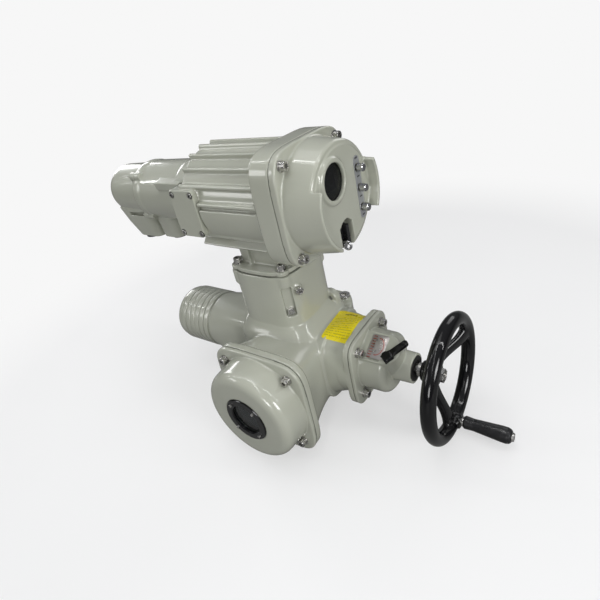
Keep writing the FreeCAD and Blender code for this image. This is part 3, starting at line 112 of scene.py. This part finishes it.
class Material(Graph):
    """A material with one Principled shader, textured in object space."""

    def __init__(self, name):
        self.material = bpy.data.materials.new(name)
        self.material.use_nodes = True
        super().__init__(self.material.node_tree)
        self.bsdf = self.new("ShaderNodeBsdfPrincipled")
        self.out = self.new("ShaderNodeOutputMaterial", {0: self.bsdf.outputs[0]})
        self.coord = self.new("ShaderNodeTexCoord").outputs["Object"]

    def surface(self, colour, roughness, normal=None, **others):
        """Feeds the shader; other inputs are named with underscores for spaces."""
        self.put(self.bsdf.inputs["Base Color"], colour)
        self.put(self.bsdf.inputs["Roughness"], roughness)
        if normal is not None:
            self.put(self.bsdf.inputs["Normal"], normal)
        for key, value in others.items():
            self.put(self.bsdf.inputs[key.replace("_", " ")], value)
        return self.material

    def noise(self, scale, detail=2.0, rough=0.5, coord=None):
        values = {"Scale": scale, "Detail": detail, "Roughness": rough}
        return self.new("ShaderNodeTexNoise", {**values, "Vector": coord or self.coord}).outputs["Fac"]

    def tone(self, low, high, scale, detail, span=(0.3, 0.7)):
        """Noise that drifts between two colours."""
        return self.ramp(self.noise(scale, detail), list(zip(span, (low, high))))

    def spread(self, value, span, to):
        """Maps the range `span` to the range `to`, clamped."""
        ends = {"From Min": span[0], "From Max": span[1], "To Min": to[0], "To Max": to[1]}
        return self.new("ShaderNodeMapRange", {**ends, "Value": value}).outputs[0]

    def vary(self, to, scale, detail=2.0, rough=0.5, span=(0.3, 0.7)):
        """Noise that drifts between the two values `to`."""
        return self.spread(self.noise(scale, detail, rough), span, to)

    def math(self, operation, a, b=0.0, clamp=False):
        node = self.new("ShaderNodeMath", {0: a, 1: b, 2: 0.0}, operation=operation, use_clamp=clamp)
        return node.outputs[0]

    def product(self, first, *others, clamp=False):
        for other in others:
            first = self.math("MULTIPLY", first, other, clamp)
        return first

    def above(self, value, limit):
        return self.math("GREATER_THAN", value, limit)

    def below(self, value, limit):
        return self.math("LESS_THAN", value, limit)

    def between(self, value, low, high):
        return self.product(self.above(value, low), self.below(value, high))

    def radius(self, x, y):
        return self.math("SQRT", self.math("ADD", self.product(x, x), self.product(y, y)))

    def mix(self, fac, a, b):
        return self.new("ShaderNodeMix", {0: fac, 6: a, 7: b}, data_type="RGBA").outputs[2]

    def bump(self, height, strength, distance, normal=None):
        values = {"Strength": strength, "Distance": distance, "Height": height}
        if normal is not None:
            values["Normal"] = normal
        return self.new("ShaderNodeBump", values).outputs[0]

    def rounded(self, radius):
        """Normal that rounds sharp edges off."""
        return self.new("ShaderNodeBevel", {"Radius": radius}, samples=4).outputs[0]

    def edges(self, radius, low=0.02, high=0.25):
        """1 on sharp edges, 0 on flats."""
        flat = self.new("ShaderNodeNewGeometry").outputs["Normal"]
        dot = self.new("ShaderNodeVectorMath", {0: self.rounded(radius), 1: flat},
                       operation="DOT_PRODUCT").outputs["Value"]
        flatness = self.spread(dot, span=(1 - high, 1 - low), to=(0.0, 1.0))
        return self.math("SUBTRACT", 1.0, flatness, clamp=True)

    def crevice(self, distance):
        """Near 0 in tight corners, 1 in the open."""
        node = self.new("ShaderNodeAmbientOcclusion", {"Distance": distance}, samples=6)
        return node.outputs["AO"]

    def label_uv(self):
        uv = self.new("ShaderNodeUVMap", uv_map="label").outputs[0]
        return self.split(uv)[:2]


# ---------------------------------------------------------------- general materials
def srgb(red, green, blue):
    """Linear colour from 0-255 sRGB."""
    def linear(value):
        value /= 255.0
        return value / 12.92 if value <= 0.04045 else ((value + 0.055) / 1.055) ** 2.4

    return (linear(red), linear(green), linear(blue), 1.0)


def brighter(colour, gain, lift=0.0):
    return tuple(min(1.0, c * gain + lift) for c in colour[:3]) + (1,)


def enamel(name, light, dark, rough, peel_scale, wear, corner_shade, coat):
    """Glossy paint over a casting: orange peel, painted shade darkening the corners, thin paint on
    edges.
    """
    m = Material(name)
    pale = light[0] > 0.2
    speck_colour = (0.24, 0.24, 0.20, 1) if pale else (0.03, 0.03, 0.03, 1)
    # colour of the painted shade laid into corners
    corner_shade_colour = (0.085, 0.082, 0.065, 1) if pale else (0.004, 0.004, 0.004, 1)
    worn_colour = (0.62, 0.63, 0.58, 1) if pale else (0.10, 0.10, 0.10, 1)

    colour = m.tone(dark, light, scale=9.0, detail=3.0, span=(0.25, 0.75))
    specks = m.vary(to=(0.0, 0.08), scale=420.0, span=(0.62, 0.78))
    colour = m.mix(specks, colour, speck_colour)
    # painted shade: ambient occlusion darkens the paint in corners and crevices, its strength varied
    # by noise
    corner_shade_mask = m.spread(m.crevice(distance=0.012), span=(0.15, 0.90), to=(corner_shade, 0.0))
    corner_shade_mask = m.product(corner_shade_mask, m.vary(to=(0.6, 1.2), scale=60.0, detail=3.0), clamp=True)
    colour = m.mix(corner_shade_mask, colour, corner_shade_colour)
    patches = (m.edges(radius=0.0007, low=0.06, high=0.30),
               m.vary(to=(0.0, 1.0), scale=170.0, detail=3.0, rough=0.6, span=(0.50, 0.66)))
    colour = m.mix(m.product(m.product(*patches, clamp=True), wear), colour, worn_colour)

    peel = m.noise(scale=peel_scale)
    casting = m.noise(scale=34.0, detail=3.0, rough=0.55)
    normal = m.bump(casting, strength=0.16, distance=0.0006, normal=m.rounded(0.0009))
    normal = m.bump(peel, strength=0.14, distance=0.00015, normal=normal)
    coat_normal = m.bump(peel, strength=0.05, distance=0.00015, normal=m.rounded(0.0009))
    roughness = m.vary(to=(rough - 0.03, rough + 0.05), scale=26.0, detail=3.0)
    return m.surface(colour, roughness, normal, Coat_Weight=coat, Coat_Roughness=0.035,
                     Coat_Normal=coat_normal, IOR=1.5, Specular_IOR_Level=0.5 if pale else 0.35)


def metal(name, light, dark, rough, grain=900.0, brushed=None):
    """Machined or plated metal: tool marks, tarnish in patches, brighter edges."""
    m = Material(name)
    colour = m.tone(dark, light, scale=70.0, detail=3.0, span=(0.32, 0.68))
    tarnish = m.spread(m.crevice(distance=0.004), span=(0.2, 0.8), to=(0.45, 0.0))
    colour = m.mix(tarnish, colour, (0.05, 0.048, 0.045, 1))
    edge_wear = 0.35
    worn = m.product(m.edges(radius=0.0004), edge_wear)
    colour = m.mix(worn, colour, brighter(light, gain=1.25))
    coord = m.coord
    if brushed:
        coord = m.new("ShaderNodeMapping", {"Scale": brushed, "Vector": m.coord}).outputs[0]
    marks = m.noise(scale=grain, coord=coord)
    normal = m.bump(marks, strength=0.18, distance=0.00008, normal=m.rounded(0.0004))
    roughness = m.vary(to=(rough * 0.75, rough * 1.3), scale=150.0, detail=3.0)
    return m.surface(colour, roughness, normal, Metallic=1.0)


def moulded(name, light, dark, rough, grain=1100.0, specular=0.5):
    """Moulded plastic or rubber: fine spark texture, soft sheen, scuffed edges."""
    m = Material(name)
    colour = m.tone(dark, light, scale=45.0, detail=3.0)
    scuffs = m.vary(to=(0.0, 0.5), scale=240.0, span=(0.45, 0.65))
    scuffed = m.product(m.edges(radius=0.0006), scuffs, clamp=True)
    colour = m.mix(scuffed, colour, brighter(light, gain=2.0, lift=0.05))
    normal = m.bump(m.noise(scale=grain), strength=0.3, distance=0.0001, normal=m.rounded(0.0005))
    roughness = m.vary(to=(rough - 0.05, rough + 0.08), scale=120.0)
    return m.surface(colour, roughness, normal, Specular_IOR_Level=specular)


def glass(name, tint, rough):
    m = Material(name)
    darker = tuple(c * 0.96 for c in tint[:3]) + (1,)
    normal = m.bump(m.noise(scale=60.0, detail=1.0), strength=0.02, distance=0.0001)
    return m.surface(m.tone(tint, darker, scale=30.0, detail=2.0),
                     m.vary(to=(rough, rough + 0.03), scale=90.0), normal,
                     Transmission_Weight=1.0, IOR=1.45)


ENAMELS = {
    # each look sets how strongly painted shade darkens its corners
    "grey_paint": dict(light=srgb(178, 180, 167), dark=srgb(171, 173, 159), rough=0.22,
                       peel_scale=650.0, wear=0.45, corner_shade=0.40, coat=0.7),
    "black_gloss": dict(light=(0.0045, 0.0045, 0.005, 1), dark=(0.0025, 0.0025, 0.003, 1),
                        rough=0.11, peel_scale=500.0, wear=0.5, corner_shade=0.1, coat=0.2),
}
METALS = {
    "chrome": dict(light=(0.56, 0.56, 0.57, 1), dark=(0.40, 0.40, 0.41, 1), rough=0.14),
    "stainless": dict(light=(0.66, 0.65, 0.63, 1), dark=(0.50, 0.49, 0.47, 1), rough=0.26),
    "bronze": dict(light=(0.70, 0.47, 0.22, 1), dark=(0.55, 0.35, 0.15, 1), rough=0.30),
    "copper": dict(light=(0.70, 0.32, 0.16, 1), dark=(0.50, 0.21, 0.10, 1), rough=0.30,
                   grain=1400.0),
    "zinc_plate": dict(light=(0.80, 0.80, 0.82, 1), dark=(0.66, 0.66, 0.68, 1), rough=0.22),
    "aluminium_plate": dict(light=(0.76, 0.76, 0.77, 1), dark=(0.64, 0.64, 0.66, 1), rough=0.32,
                            brushed=(8.0, 1.0, 1.0)),
    "machined_steel": dict(light=(0.60, 0.59, 0.57, 1), dark=(0.46, 0.45, 0.43, 1), rough=0.24,
                           brushed=(6.0, 1.0, 1.0)),
}
MOULDINGS = {
    "black_plastic": dict(light=(0.012, 0.012, 0.013, 1), dark=(0.008, 0.008, 0.009, 1),
                          rough=0.30),
    "rubber": dict(light=(0.035, 0.034, 0.033, 1), dark=(0.020, 0.020, 0.020, 1), rough=0.62,
                   specular=0.3),
    "gasket_edge": dict(light=srgb(118, 120, 109), dark=srgb(100, 102, 93), rough=0.45,
                        specular=0.3),
    "board": dict(light=(0.03, 0.20, 0.09, 1), dark=(0.02, 0.14, 0.06, 1), rough=0.40),
    "black_matt": dict(light=(0.030, 0.030, 0.032, 1), dark=(0.018, 0.018, 0.020, 1), rough=0.55),
    "moulding": dict(light=(0.13, 0.13, 0.14, 1), dark=(0.09, 0.09, 0.10, 1), rough=0.45),
    # plain face: it holds the bare name, so the dial's material gets the suffix .001
    "indicator_face": dict(light=srgb(196, 200, 198), dark=srgb(182, 187, 186), rough=0.35),
}


# ---------------------------------------------------------------- printed materials
def label_material():
    """Yellow film with a heading bar and rows of broken bars that stand for printed lines."""
    m = Material("yellow_label")
    u, v = m.label_uv()
    rows, columns = 16.0, 40.0
    row = m.math("FRACT", m.product(v, rows))
    row_id = m.math("FLOOR", m.product(v, rows))
    column_id = m.math("FLOOR", m.product(u, columns))
    cell = m.new("ShaderNodeCombineXYZ", {0: column_id, 1: row_id}).outputs[0]
    words = m.new("ShaderNodeTexWhiteNoise", {"Vector": cell}, noise_dimensions="2D")
    ink = m.product(m.between(row, low=0.35, high=0.65),
                    m.above(words.outputs["Value"], limit=0.25),
                    m.between(v, low=0.06, high=0.70),
                    m.between(u, low=0.07, high=0.93))
    heading = m.product(m.between(v, low=0.80, high=0.86), m.between(u, low=0.30, high=0.70))

    colour = m.tone((0.80, 0.66, 0.006, 1), (0.86, 0.73, 0.010, 1), scale=40.0, detail=3.0)
    ink_strength, heading_strength = 0.50, 0.65
    colour = m.mix(m.product(ink, ink_strength), colour, (0.10, 0.085, 0.02, 1))
    colour = m.mix(m.product(heading, heading_strength), colour, (0.06, 0.05, 0.015, 1))
    return m.surface(colour, m.vary(to=(0.24, 0.36), scale=200.0),
                     m.bump(m.noise(scale=60.0), strength=0.08, distance=0.0003), Coat_Weight=0.3)


def dial_material():
    """Grey dial in the XZ plane with a black rim, a dark half and tick marks."""
    m = Material("indicator_face")
    centre_z = 0.094
    tick_inner, rim_inner = 0.0205, 0.0248
    ticks_per_radian = 12 / math.pi
    tick_share = 0.12                 # of the tick pitch
    half_slope, half_offset = 0.6, 0.004

    place = m.split(m.coord)
    x = place[0]
    z = m.math("SUBTRACT", place[2], centre_z)
    radius = m.radius(x, z)
    pitch = m.math("FRACT", m.product(m.math("ARCTAN2", z, x), ticks_per_radian))
    tick = m.product(m.below(pitch, tick_share), m.above(radius, tick_inner))
    half = m.above(m.math("ADD", x, m.product(z, half_slope)), half_offset)
    rim = m.above(radius, rim_inner)

    colour = m.tone((0.42, 0.44, 0.43, 1), (0.50, 0.52, 0.51, 1), scale=60.0, detail=2.0)
    tick_strength = 0.9
    colour = m.mix(m.product(tick, tick_strength), colour, (0.05, 0.05, 0.05, 1))
    colour = m.mix(half, colour, (0.022, 0.022, 0.024, 1))
    colour = m.mix(rim, colour, (0.02, 0.02, 0.02, 1))
    return m.surface(colour, m.vary(to=(0.3, 0.42), scale=150.0),
                     m.bump(m.noise(scale=900.0), strength=0.2, distance=0.00006))


def lever_plate_material():
    """Metal with a red arc around the middle and short bars along one side."""
    m = Material("lever_plate")
    u, v = m.label_uv()
    from_middle = [m.math("SUBTRACT", value, 0.5) for value in (u, v)]
    ring = m.between(m.radius(*from_middle), low=0.33, high=0.38)
    arc = m.product(ring, m.above(from_middle[0], limit=-0.05))
    bar_rows = 9.0
    row = m.math("FRACT", m.product(v, bar_rows))
    bars = m.product(m.above(row, limit=0.55), m.below(u, limit=0.30), m.above(u, limit=0.10))

    colour = m.tone((0.40, 0.38, 0.36, 1), (0.50, 0.47, 0.45, 1), scale=60.0, detail=3.0)
    ink_strength = 0.75
    ink = m.product(m.math("MAXIMUM", arc, bars), ink_strength)
    return m.surface(m.mix(ink, colour, (0.42, 0.07, 0.05, 1)),
                     m.vary(to=(0.25, 0.38), scale=160.0),
                     m.bump(m.noise(scale=700.0), strength=0.12, distance=0.00006),
                     Metallic=0.75)


def button_strip_material():
    """Metal with four dark dashes, at the ends and between the buttons."""
    m = Material("button_strip")
    u, v = m.label_uv()
    half_length, half_height = 0.22, 0.012
    dashes = None
    for height in (0.055, 0.36, 0.68, 0.965):
        distance = m.math("ABSOLUTE", m.math("SUBTRACT", v, height))
        near = m.below(distance, half_height)
        dashes = near if dashes is None else m.math("MAXIMUM", dashes, near)
    sideways = m.math("ABSOLUTE", m.math("SUBTRACT", u, 0.5))
    dashes = m.product(dashes, m.below(sideways, half_length))

    colour = m.tone((0.40, 0.41, 0.43, 1), (0.48, 0.49, 0.51, 1), scale=70.0, detail=3.0)
    ink_strength = 0.85
    return m.surface(m.mix(m.product(dashes, ink_strength), colour, (0.04, 0.04, 0.045, 1)),
                     m.vary(to=(0.28, 0.40), scale=160.0),
                     m.bump(m.noise(scale=800.0), strength=0.15, distance=0.00006), Metallic=0.6)


materials = {}
for make, looks in ((enamel, ENAMELS), (metal, METALS), (moulded, MOULDINGS)):
    for name, look in looks.items():
        materials[name] = make(name, **look)
materials["clear_glass"] = glass("clear_glass", tint=(0.16, 0.18, 0.19, 1), rough=0.01)
materials["yellow_label"] = label_material()
materials["indicator_face"] = dial_material()
materials["lever_plate"] = lever_plate_material()
materials["button_strip"] = button_strip_material()

# ---------------------------------------------------------------- paint on the CAD pieces
PIECES = {
    "grey_paint": ["gear_housing", "motor_housing", "signal_gear_cover", "handwheel_gear_cover",
                   "electronics_housing", "electronics_cover", "junction_cover",
                   "connection_housing", "terminal_cover", "mounting_flange"],
    "black_gloss": ["handwheel", "changeover_lever", "sight_bezel"],
    "black_plastic": ["handle_grip", "selector_knob", "cable_entry_plugs"],
    "clear_glass": ["display_window", "sight_glass"],
    "chrome": ["button_1", "button_2", "button_3", "lock_hasp"],
    "bronze": ["worm_wheel", "nose_bush", "signal_shaft_bush", "signal_wheel"],
    "copper": ["stator_windings"],
    "board": ["circuit_boards"],
    "black_matt": ["display_module"],
    "moulding": ["terminal_block", "transformer"],
    "indicator_face": ["indicator_disc"],
    "aluminium_plate": ["signal_plate"],
    "stainless": ["handwheel_nut", "neck_plug", "handle_spindle", "oil_filler_plug"],
}
LISTED = {piece: material for material, pieces in PIECES.items() for piece in pieces}


def material_name(piece):
    if piece in LISTED:
        return LISTED[piece]
    if "gasket" in piece:
        return "gasket_edge"          # the edges carry paint sprayed over the closed joints
    if "seal" in piece:
        return "rubber"
    return "stainless" if "screw" in piece else "machined_steel"


def paint(obj, material):
    obj.data.materials.clear()
    obj.data.materials.append(material)


for name, obj in nodes.items():
    paint(obj, materials[material_name(name)])


# ---------------------------------------------------------------- mesh helpers
def add_object(name, mesh):
    obj = bpy.data.objects.new(name, mesh)
    bpy.context.scene.collection.objects.link(obj)
    return obj


def shade_smooth(mesh):
    for polygon in mesh.polygons:
        polygon.use_smooth = True


def mesh_object(name, verts, faces, material):
    mesh = bpy.data.meshes.new(name)
    mesh.from_pydata([tuple(v) for v in verts], [], faces)
    mesh.validate()
    mesh.materials.append(material)
    shade_smooth(mesh)
    return add_object(name, mesh)


def add_label_uv(obj, vertex_uvs):
    layer = obj.data.uv_layers.new(name="label")
    for loop in obj.data.loops:
        layer.data[loop.index].uv = vertex_uvs[loop.vertex_index]


def fix_to_housing(obj):
    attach(obj, "housing")


def rounded_outline(width, height, radius, steps):
    points = []
    x, y = width / 2 - radius, height / 2 - radius
    for centre_x, centre_y, start in ((x, y, 0), (-x, y, 90), (-x, -y, 180), (x, -y, 270)):
        for i in range(steps + 1):
            angle = math.radians(start + 90.0 * i / steps)
            points.append((centre_x + radius * math.cos(angle),
                           centre_y + radius * math.sin(angle)))
    return points


def circle(x, y, radius, count=32):
    angles = [2 * math.pi * i / count for i in range(count)]
    return [(x + radius * math.cos(a), y + radius * math.sin(a)) for a in angles]


# ---------------------------------------------------------------- plate beside the lever
def build_lever_plate():
    """Thin plate on the pad, with rounded corners and a rounded outer edge."""
    centre_x, lift = 0.1485, 0.04902  # lift is along the pad normal from the worm axis
    width, height, corner = 0.028, 0.040, 0.004
    thick, edge = 0.00030, 0.0001
    # inset of the outline, height above the pad
    rings = [(0.0, 0.0), (0.0, thick - edge), (edge * 0.3, thick - edge * 0.3), (edge, thick)]
    verts, faces = [], []
    for inset, rise in rings:
        outline = rounded_outline(width - 2 * inset, height - 2 * inset, corner - inset, steps=5)
        for u, v in outline:
            foot = Vector((centre_x + u, WORM_Y, WORM_Z))
            verts.append(foot + PAD_ALONG * v + PAD_NORMAL * (lift + rise))
    count = len(outline)
    for i in range(len(rings) - 1):
        for j in range(count):
            a, b = i * count + j, i * count + (j + 1) % count
            faces.append((a, b, b + count, a + count))
    faces.append(tuple(range((len(rings) - 1) * count, len(rings) * count)))
    faces.append(tuple(reversed(range(count))))
    plate = mesh_object("lever_plate", verts, faces, materials["lever_plate"])

    axis = Vector((0, WORM_Y, WORM_Z))
    left = centre_x - width / 2
    add_label_uv(plate, [((v.co.x - left) / width, 0.5 + (v.co - axis).dot(PAD_ALONG) / height)
                         for v in plate.data.vertices])
    plate.data.set_sharp_from_angle(angle=math.radians(35))
    fix_to_housing(plate)


# ---------------------------------------------------------------- strip behind the buttons
def build_button_strip():
    """Upright strip on the +X side of the control unit, with a hole for each button."""
    back_x = 0.12103
    centre_y, centre_z = CONTROL_Y + 0.043, CONTROL_Z - 0.003
    width, height, corner, thick = 0.0155, 0.094, 0.0076, 0.0007
    hole_radius, pitch = 0.0065, 0.030

    def place(u, v, rise):
        return Vector((back_x + rise, centre_y + u, centre_z + v))

    bm = bmesh.new()
    edges = []
    holes = [circle(0.0, z, hole_radius) for z in (pitch, 0.0, -pitch)]
    for ring in [rounded_outline(width, height, corner, steps=8)] + holes:
        verts = [bm.verts.new(place(u, v, thick)) for u, v in ring]
        edges += [bm.edges.new((vert, verts[(i + 1) % len(verts)]))
                  for i, vert in enumerate(verts)]
    bmesh.ops.triangle_fill(bm, use_beauty=True, use_dissolve=False, edges=edges)
    made = bmesh.ops.extrude_face_region(bm, geom=list(bm.faces))
    back = [item for item in made["geom"] if isinstance(item, bmesh.types.BMVert)]
    bmesh.ops.translate(bm, vec=place(0, 0, 0) - place(0, 0, thick), verts=back)
    bmesh.ops.recalc_face_normals(bm, faces=bm.faces)
    mesh = bpy.data.meshes.new("button_strip")
    bm.to_mesh(mesh)
    bm.free()
    mesh.materials.append(materials["button_strip"])
    strip = add_object("button_strip", mesh)
    add_label_uv(strip, [((v.co.y - centre_y) / width + 0.5, (v.co.z - centre_z) / height + 0.5)
                         for v in mesh.vertices])
    fix_to_housing(strip)


# ---------------------------------------------------------------- castings with soft edges
# piece, voxel size, smoothing steps, most triangles
CASTINGS = [
    ("gear_housing", 0.0014, 7, 190000),
    ("signal_gear_cover", 0.0011, 5, 120000),
    ("handwheel_gear_cover", 0.0009, 5, 120000),
    ("electronics_cover", 0.0011, 4, 150000),
    ("connection_housing", 0.0010, 4, 120000),
    ("terminal_cover", 0.0011, 5, 120000),
    ("electronics_housing", 0.0012, 3, 190000),
    ("handwheel", 0.0011, 6, 120000),
    ("changeover_lever", 0.0004, 4, 40000),
    ("motor_housing", 0.0008, 2, 150000),
]


def apply_modifier(obj, kind, **settings):
    modifier = obj.modifiers.new(kind, kind)
    for key, value in settings.items():
        setattr(modifier, key, value)
    bpy.ops.object.modifier_apply(modifier=modifier.name)


def cast(name, voxel, steps, limit):
    """A copy of a CAD piece, remeshed, relaxed and thinned so its edges look sand-cast."""
    source = nodes[name]
    obj = add_object(name + "_cast", source.data.copy())
    bpy.context.view_layer.objects.active = obj
    for other in bpy.context.selected_objects:
        other.select_set(False)
    obj.select_set(True)
    apply_modifier(obj, "REMESH", mode="VOXEL", voxel_size=voxel, adaptivity=0.0)
    apply_modifier(obj, "SMOOTH", factor=0.5, iterations=steps)
    obj.data.calc_loop_triangles()
    triangles = len(obj.data.loop_triangles)
    if triangles > limit:
        apply_modifier(obj, "DECIMATE", ratio=limit / triangles)
    slot = material_name(name)
    paint(obj, materials[slot])
    shade_smooth(obj.data)
    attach(obj, source["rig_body"])
    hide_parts(name)
    return obj


# ---------------------------------------------------------------- instruction label on the arm
# x and degrees about the worm axis, from +Y towards +Z; two corners of the +Y edge come first
LABEL_CORNERS = [(0.0560, 64.0), (0.1062, 52.0), (0.1062, 127.0), (0.0600, 128.0)]
LABEL_CORNER_RADIUS = 0.003
LABEL_LIFTS = (-0.0005, 0.00035)      # under and outer side, from the arm surface
LABEL_COLUMNS, LABEL_ROWS = 26, 44


def label_spot(u, v):
    """Place on the worm axis and outward direction for a point of the label."""
    xs, angles = zip(*LABEL_CORNERS)
    width = xs[1] - xs[0]
    height = ARM_RADIUS * math.radians(angles[2] - angles[1])
    radius = LABEL_CORNER_RADIUS
    side, end = min(u, 1 - u) * width, min(v, 1 - v) * height
    if side < radius and end < radius:
        inset = radius - math.sqrt(max(radius * radius - (radius - end) ** 2, 0.0))
        shift = inset * (1 - side / radius) / width
        u += shift if u < 0.5 else -shift

    def blend(a, b, c, d):
        return (a * (1 - u) + b * u) * (1 - v) + (d * (1 - u) + c * u) * v

    angle = math.radians(blend(*angles))
    return Vector((blend(*xs), WORM_Y, WORM_Z)), Vector((0, math.cos(angle), math.sin(angle)))


def build_label(arm):
    """Printed film laid on the arm by casting rays inwards to the worm axis."""
    columns, rows = LABEL_COLUMNS, LABEL_ROWS
    ray_start = 0.12                  # outside the arm
    tree = BVHTree.FromObject(arm, bpy.context.evaluated_depsgraph_get())
    world_to_arm = arm.matrix_world.inverted()
    spots, radii = {}, {}
    for i in range(columns + 1):
        for j in range(rows + 1):
            foot, out = label_spot(i / columns, j / rows)
            hit = tree.ray_cast(world_to_arm @ (foot + out * ray_start),
                                world_to_arm.to_3x3() @ -out)[0]
            spots[i, j] = foot, out
            radii[i, j] = ARM_RADIUS if hit is None else (arm.matrix_world @ hit - foot).dot(out)

    verts, uvs = [], []
    for lift in LABEL_LIFTS:
        for (i, j), (foot, out) in spots.items():
            near = [radii[p, q] for p in (i - 1, i, i + 1) for q in (j - 1, j, j + 1)
                    if (p, q) in radii]
            verts.append(foot + out * (sum(near) / len(near) + lift))
            uvs.append((i / columns, 1 - j / rows))

    def at(side, i, j):
        return side * len(spots) + i * (rows + 1) + j

    faces = []
    for i in range(columns):
        for j in range(rows):
            faces.append((at(1, i, j), at(1, i + 1, j), at(1, i + 1, j + 1), at(1, i, j + 1)))
            faces.append((at(0, i, j + 1), at(0, i + 1, j + 1), at(0, i + 1, j), at(0, i, j)))
    for i in range(columns):
        faces.append((at(0, i, 0), at(0, i + 1, 0), at(1, i + 1, 0), at(1, i, 0)))
        faces.append((at(1, i, rows), at(1, i + 1, rows), at(0, i + 1, rows), at(0, i, rows)))
    for j in range(rows):
        faces.append((at(0, 0, j + 1), at(0, 0, j), at(1, 0, j), at(1, 0, j + 1)))
        faces.append((at(0, columns, j), at(0, columns, j + 1),
                      at(1, columns, j + 1), at(1, columns, j)))
    label = mesh_object("instruction_label", verts, faces, materials["yellow_label"])
    add_label_uv(label, uvs)
    label.data.set_sharp_from_angle(angle=math.radians(40))
    fix_to_housing(label)


build_lever_plate()
build_button_strip()
arm_surface = nodes["gear_housing"]
castings = {row[0]: cast(*row) for row in CASTINGS}
arm_surface = castings["gear_housing"]
build_label(arm_surface)

# ---------------------------------------------------------------- floor and world
BACKDROP = (0.93, 0.93, 0.93, 1)


def floor_material():
    """Matt floor, pale to the camera and darker to other rays, fading to the backdrop."""
    m = Material("floor")
    seen = m.new("ShaderNodeLightPath").outputs["Is Camera Ray"]
    pale = m.tone((0.87, 0.87, 0.87, 1), (0.89, 0.89, 0.89, 1), scale=2.0, detail=2.0)
    m.surface(m.mix(seen, (0.24, 0.24, 0.235, 1), pale), m.vary(to=(0.6, 0.7), scale=8.0))
    glow = m.new("ShaderNodeEmission", {0: BACKDROP}).outputs[0]
    distance = m.new("ShaderNodeVectorMath", {0: m.coord}, operation="LENGTH").outputs["Value"]
    fade_start, fade_end, least_glow = 0.35, 1.1, 0.55
    fade = m.new("ShaderNodeMapRange",
                 {"From Min": fade_start, "From Max": fade_end, "Value": distance},
                 interpolation_type="SMOOTHSTEP").outputs[0]
    share = m.product(m.math("MAXIMUM", fade, least_glow), seen)
    mixed = m.new("ShaderNodeMixShader", {0: share, 1: m.bsdf.outputs[0], 2: glow}).outputs[0]
    m.put(m.out.inputs[0], mixed)
    return m.material


def build_floor(half=30, z=-0.0033):
    verts = [(-half, -half, z), (half, -half, z), (half, half, z), (-half, half, z)]
    mesh_object("floor", verts, [(0, 1, 2, 3)], floor_material())


def build_world():
    """Plain backdrop to the camera; dim light that grows with height for everything else."""
    world = bpy.data.worlds.new("world")
    bpy.context.scene.world = world
    world.use_nodes = True
    g = Graph(world.node_tree)
    height = g.split(g.new("ShaderNodeTexCoord").outputs["Generated"])[2]
    sky = g.ramp(height, [(0.0, (0.08, 0.08, 0.082, 1)), (1.0, (0.34, 0.35, 0.37, 1))])
    seen = g.new("ShaderNodeLightPath").outputs["Is Camera Ray"]
    lit, backdrop = (g.new("ShaderNodeBackground", {0: c}).outputs[0] for c in (sky, BACKDROP))
    mixed = g.new("ShaderNodeMixShader", {0: seen, 1: lit, 2: backdrop}).outputs[0]
    g.new("ShaderNodeOutputWorld", {0: mixed})


# ---------------------------------------------------------------- lights and camera
LIGHT_TARGET = Vector((0.0, -0.05, 0.22))
# name, place, size in x and y, power in watts
LIGHTS = [
    ("overhead", (-0.15, 0.10, 1.7), (0.9, 0.9), 2.5),
    ("strip_1", (-0.75, -0.35, 1.35), (0.03, 1.8), 3.2),
    ("strip_2", (0.25, -0.55, 1.60), (0.03, 1.8), 3.6),
    ("strip_3", (0.95, 0.15, 1.25), (0.03, 1.8), 3.2),
    ("front_left", (-1.5, -1.5, 1.0), (0.6, 0.6), 5.5),
    ("front_low", (0.7, -1.8, 0.55), (0.5, 0.5), 8.0),
    ("right_fill", (1.7, -0.5, 0.75), (0.6, 0.6), 14.0),
    ("left_fill", (-1.7, 0.4, 0.8), (0.6, 0.6), 6.0),
    ("back_rim", (0.2, 1.7, 1.2), (0.9, 0.9), 4.0),
]


def add_light(name, place, size, power):
    light = bpy.data.lights.new(name, "AREA")
    light.shape = "RECTANGLE"
    light.size, light.size_y = size
    light.energy = power
    obj = add_object(name, light)
    obj.location = place
    obj.rotation_euler = (LIGHT_TARGET - Vector(place)).to_track_quat("-Z", "Y").to_euler()


def add_camera():
    place = (0.440283, -0.546722, 0.604394)
    # turn from +Y towards -X, tilt below level, roll about the view
    turn, tilt, roll = (math.radians(a) for a in (39.516994, 26.397307, -12.421905))
    data = bpy.data.cameras.new("camera")
    data.sensor_fit = "HORIZONTAL"
    data.sensor_width = 36.0
    data.lens = 27.08502
    data.shift_x = -0.01062833333
    data.shift_y = -0.07701
    data.clip_start = 0.01
    camera = add_object("camera", data)
    bpy.context.scene.camera = camera

    view = Vector((-math.sin(turn) * math.cos(tilt), math.cos(turn) * math.cos(tilt),
                   -math.sin(tilt)))
    right = view.cross(Vector((0, 0, 1))).normalized()
    up = right.cross(view)
    rolled_right = right * math.cos(roll) + up * math.sin(roll)
    rolled_up = -right * math.sin(roll) + up * math.cos(roll)
    matrix = Matrix((rolled_right, rolled_up, -view)).transposed().to_4x4()
    matrix.translation = place
    camera.matrix_world = matrix


build_floor()
build_world()
for row in LIGHTS:
    add_light(*row)
add_camera()
bpy.context.scene.view_settings.view_transform = "Standard"
bpy.context.scene.view_settings.exposure = 0.0
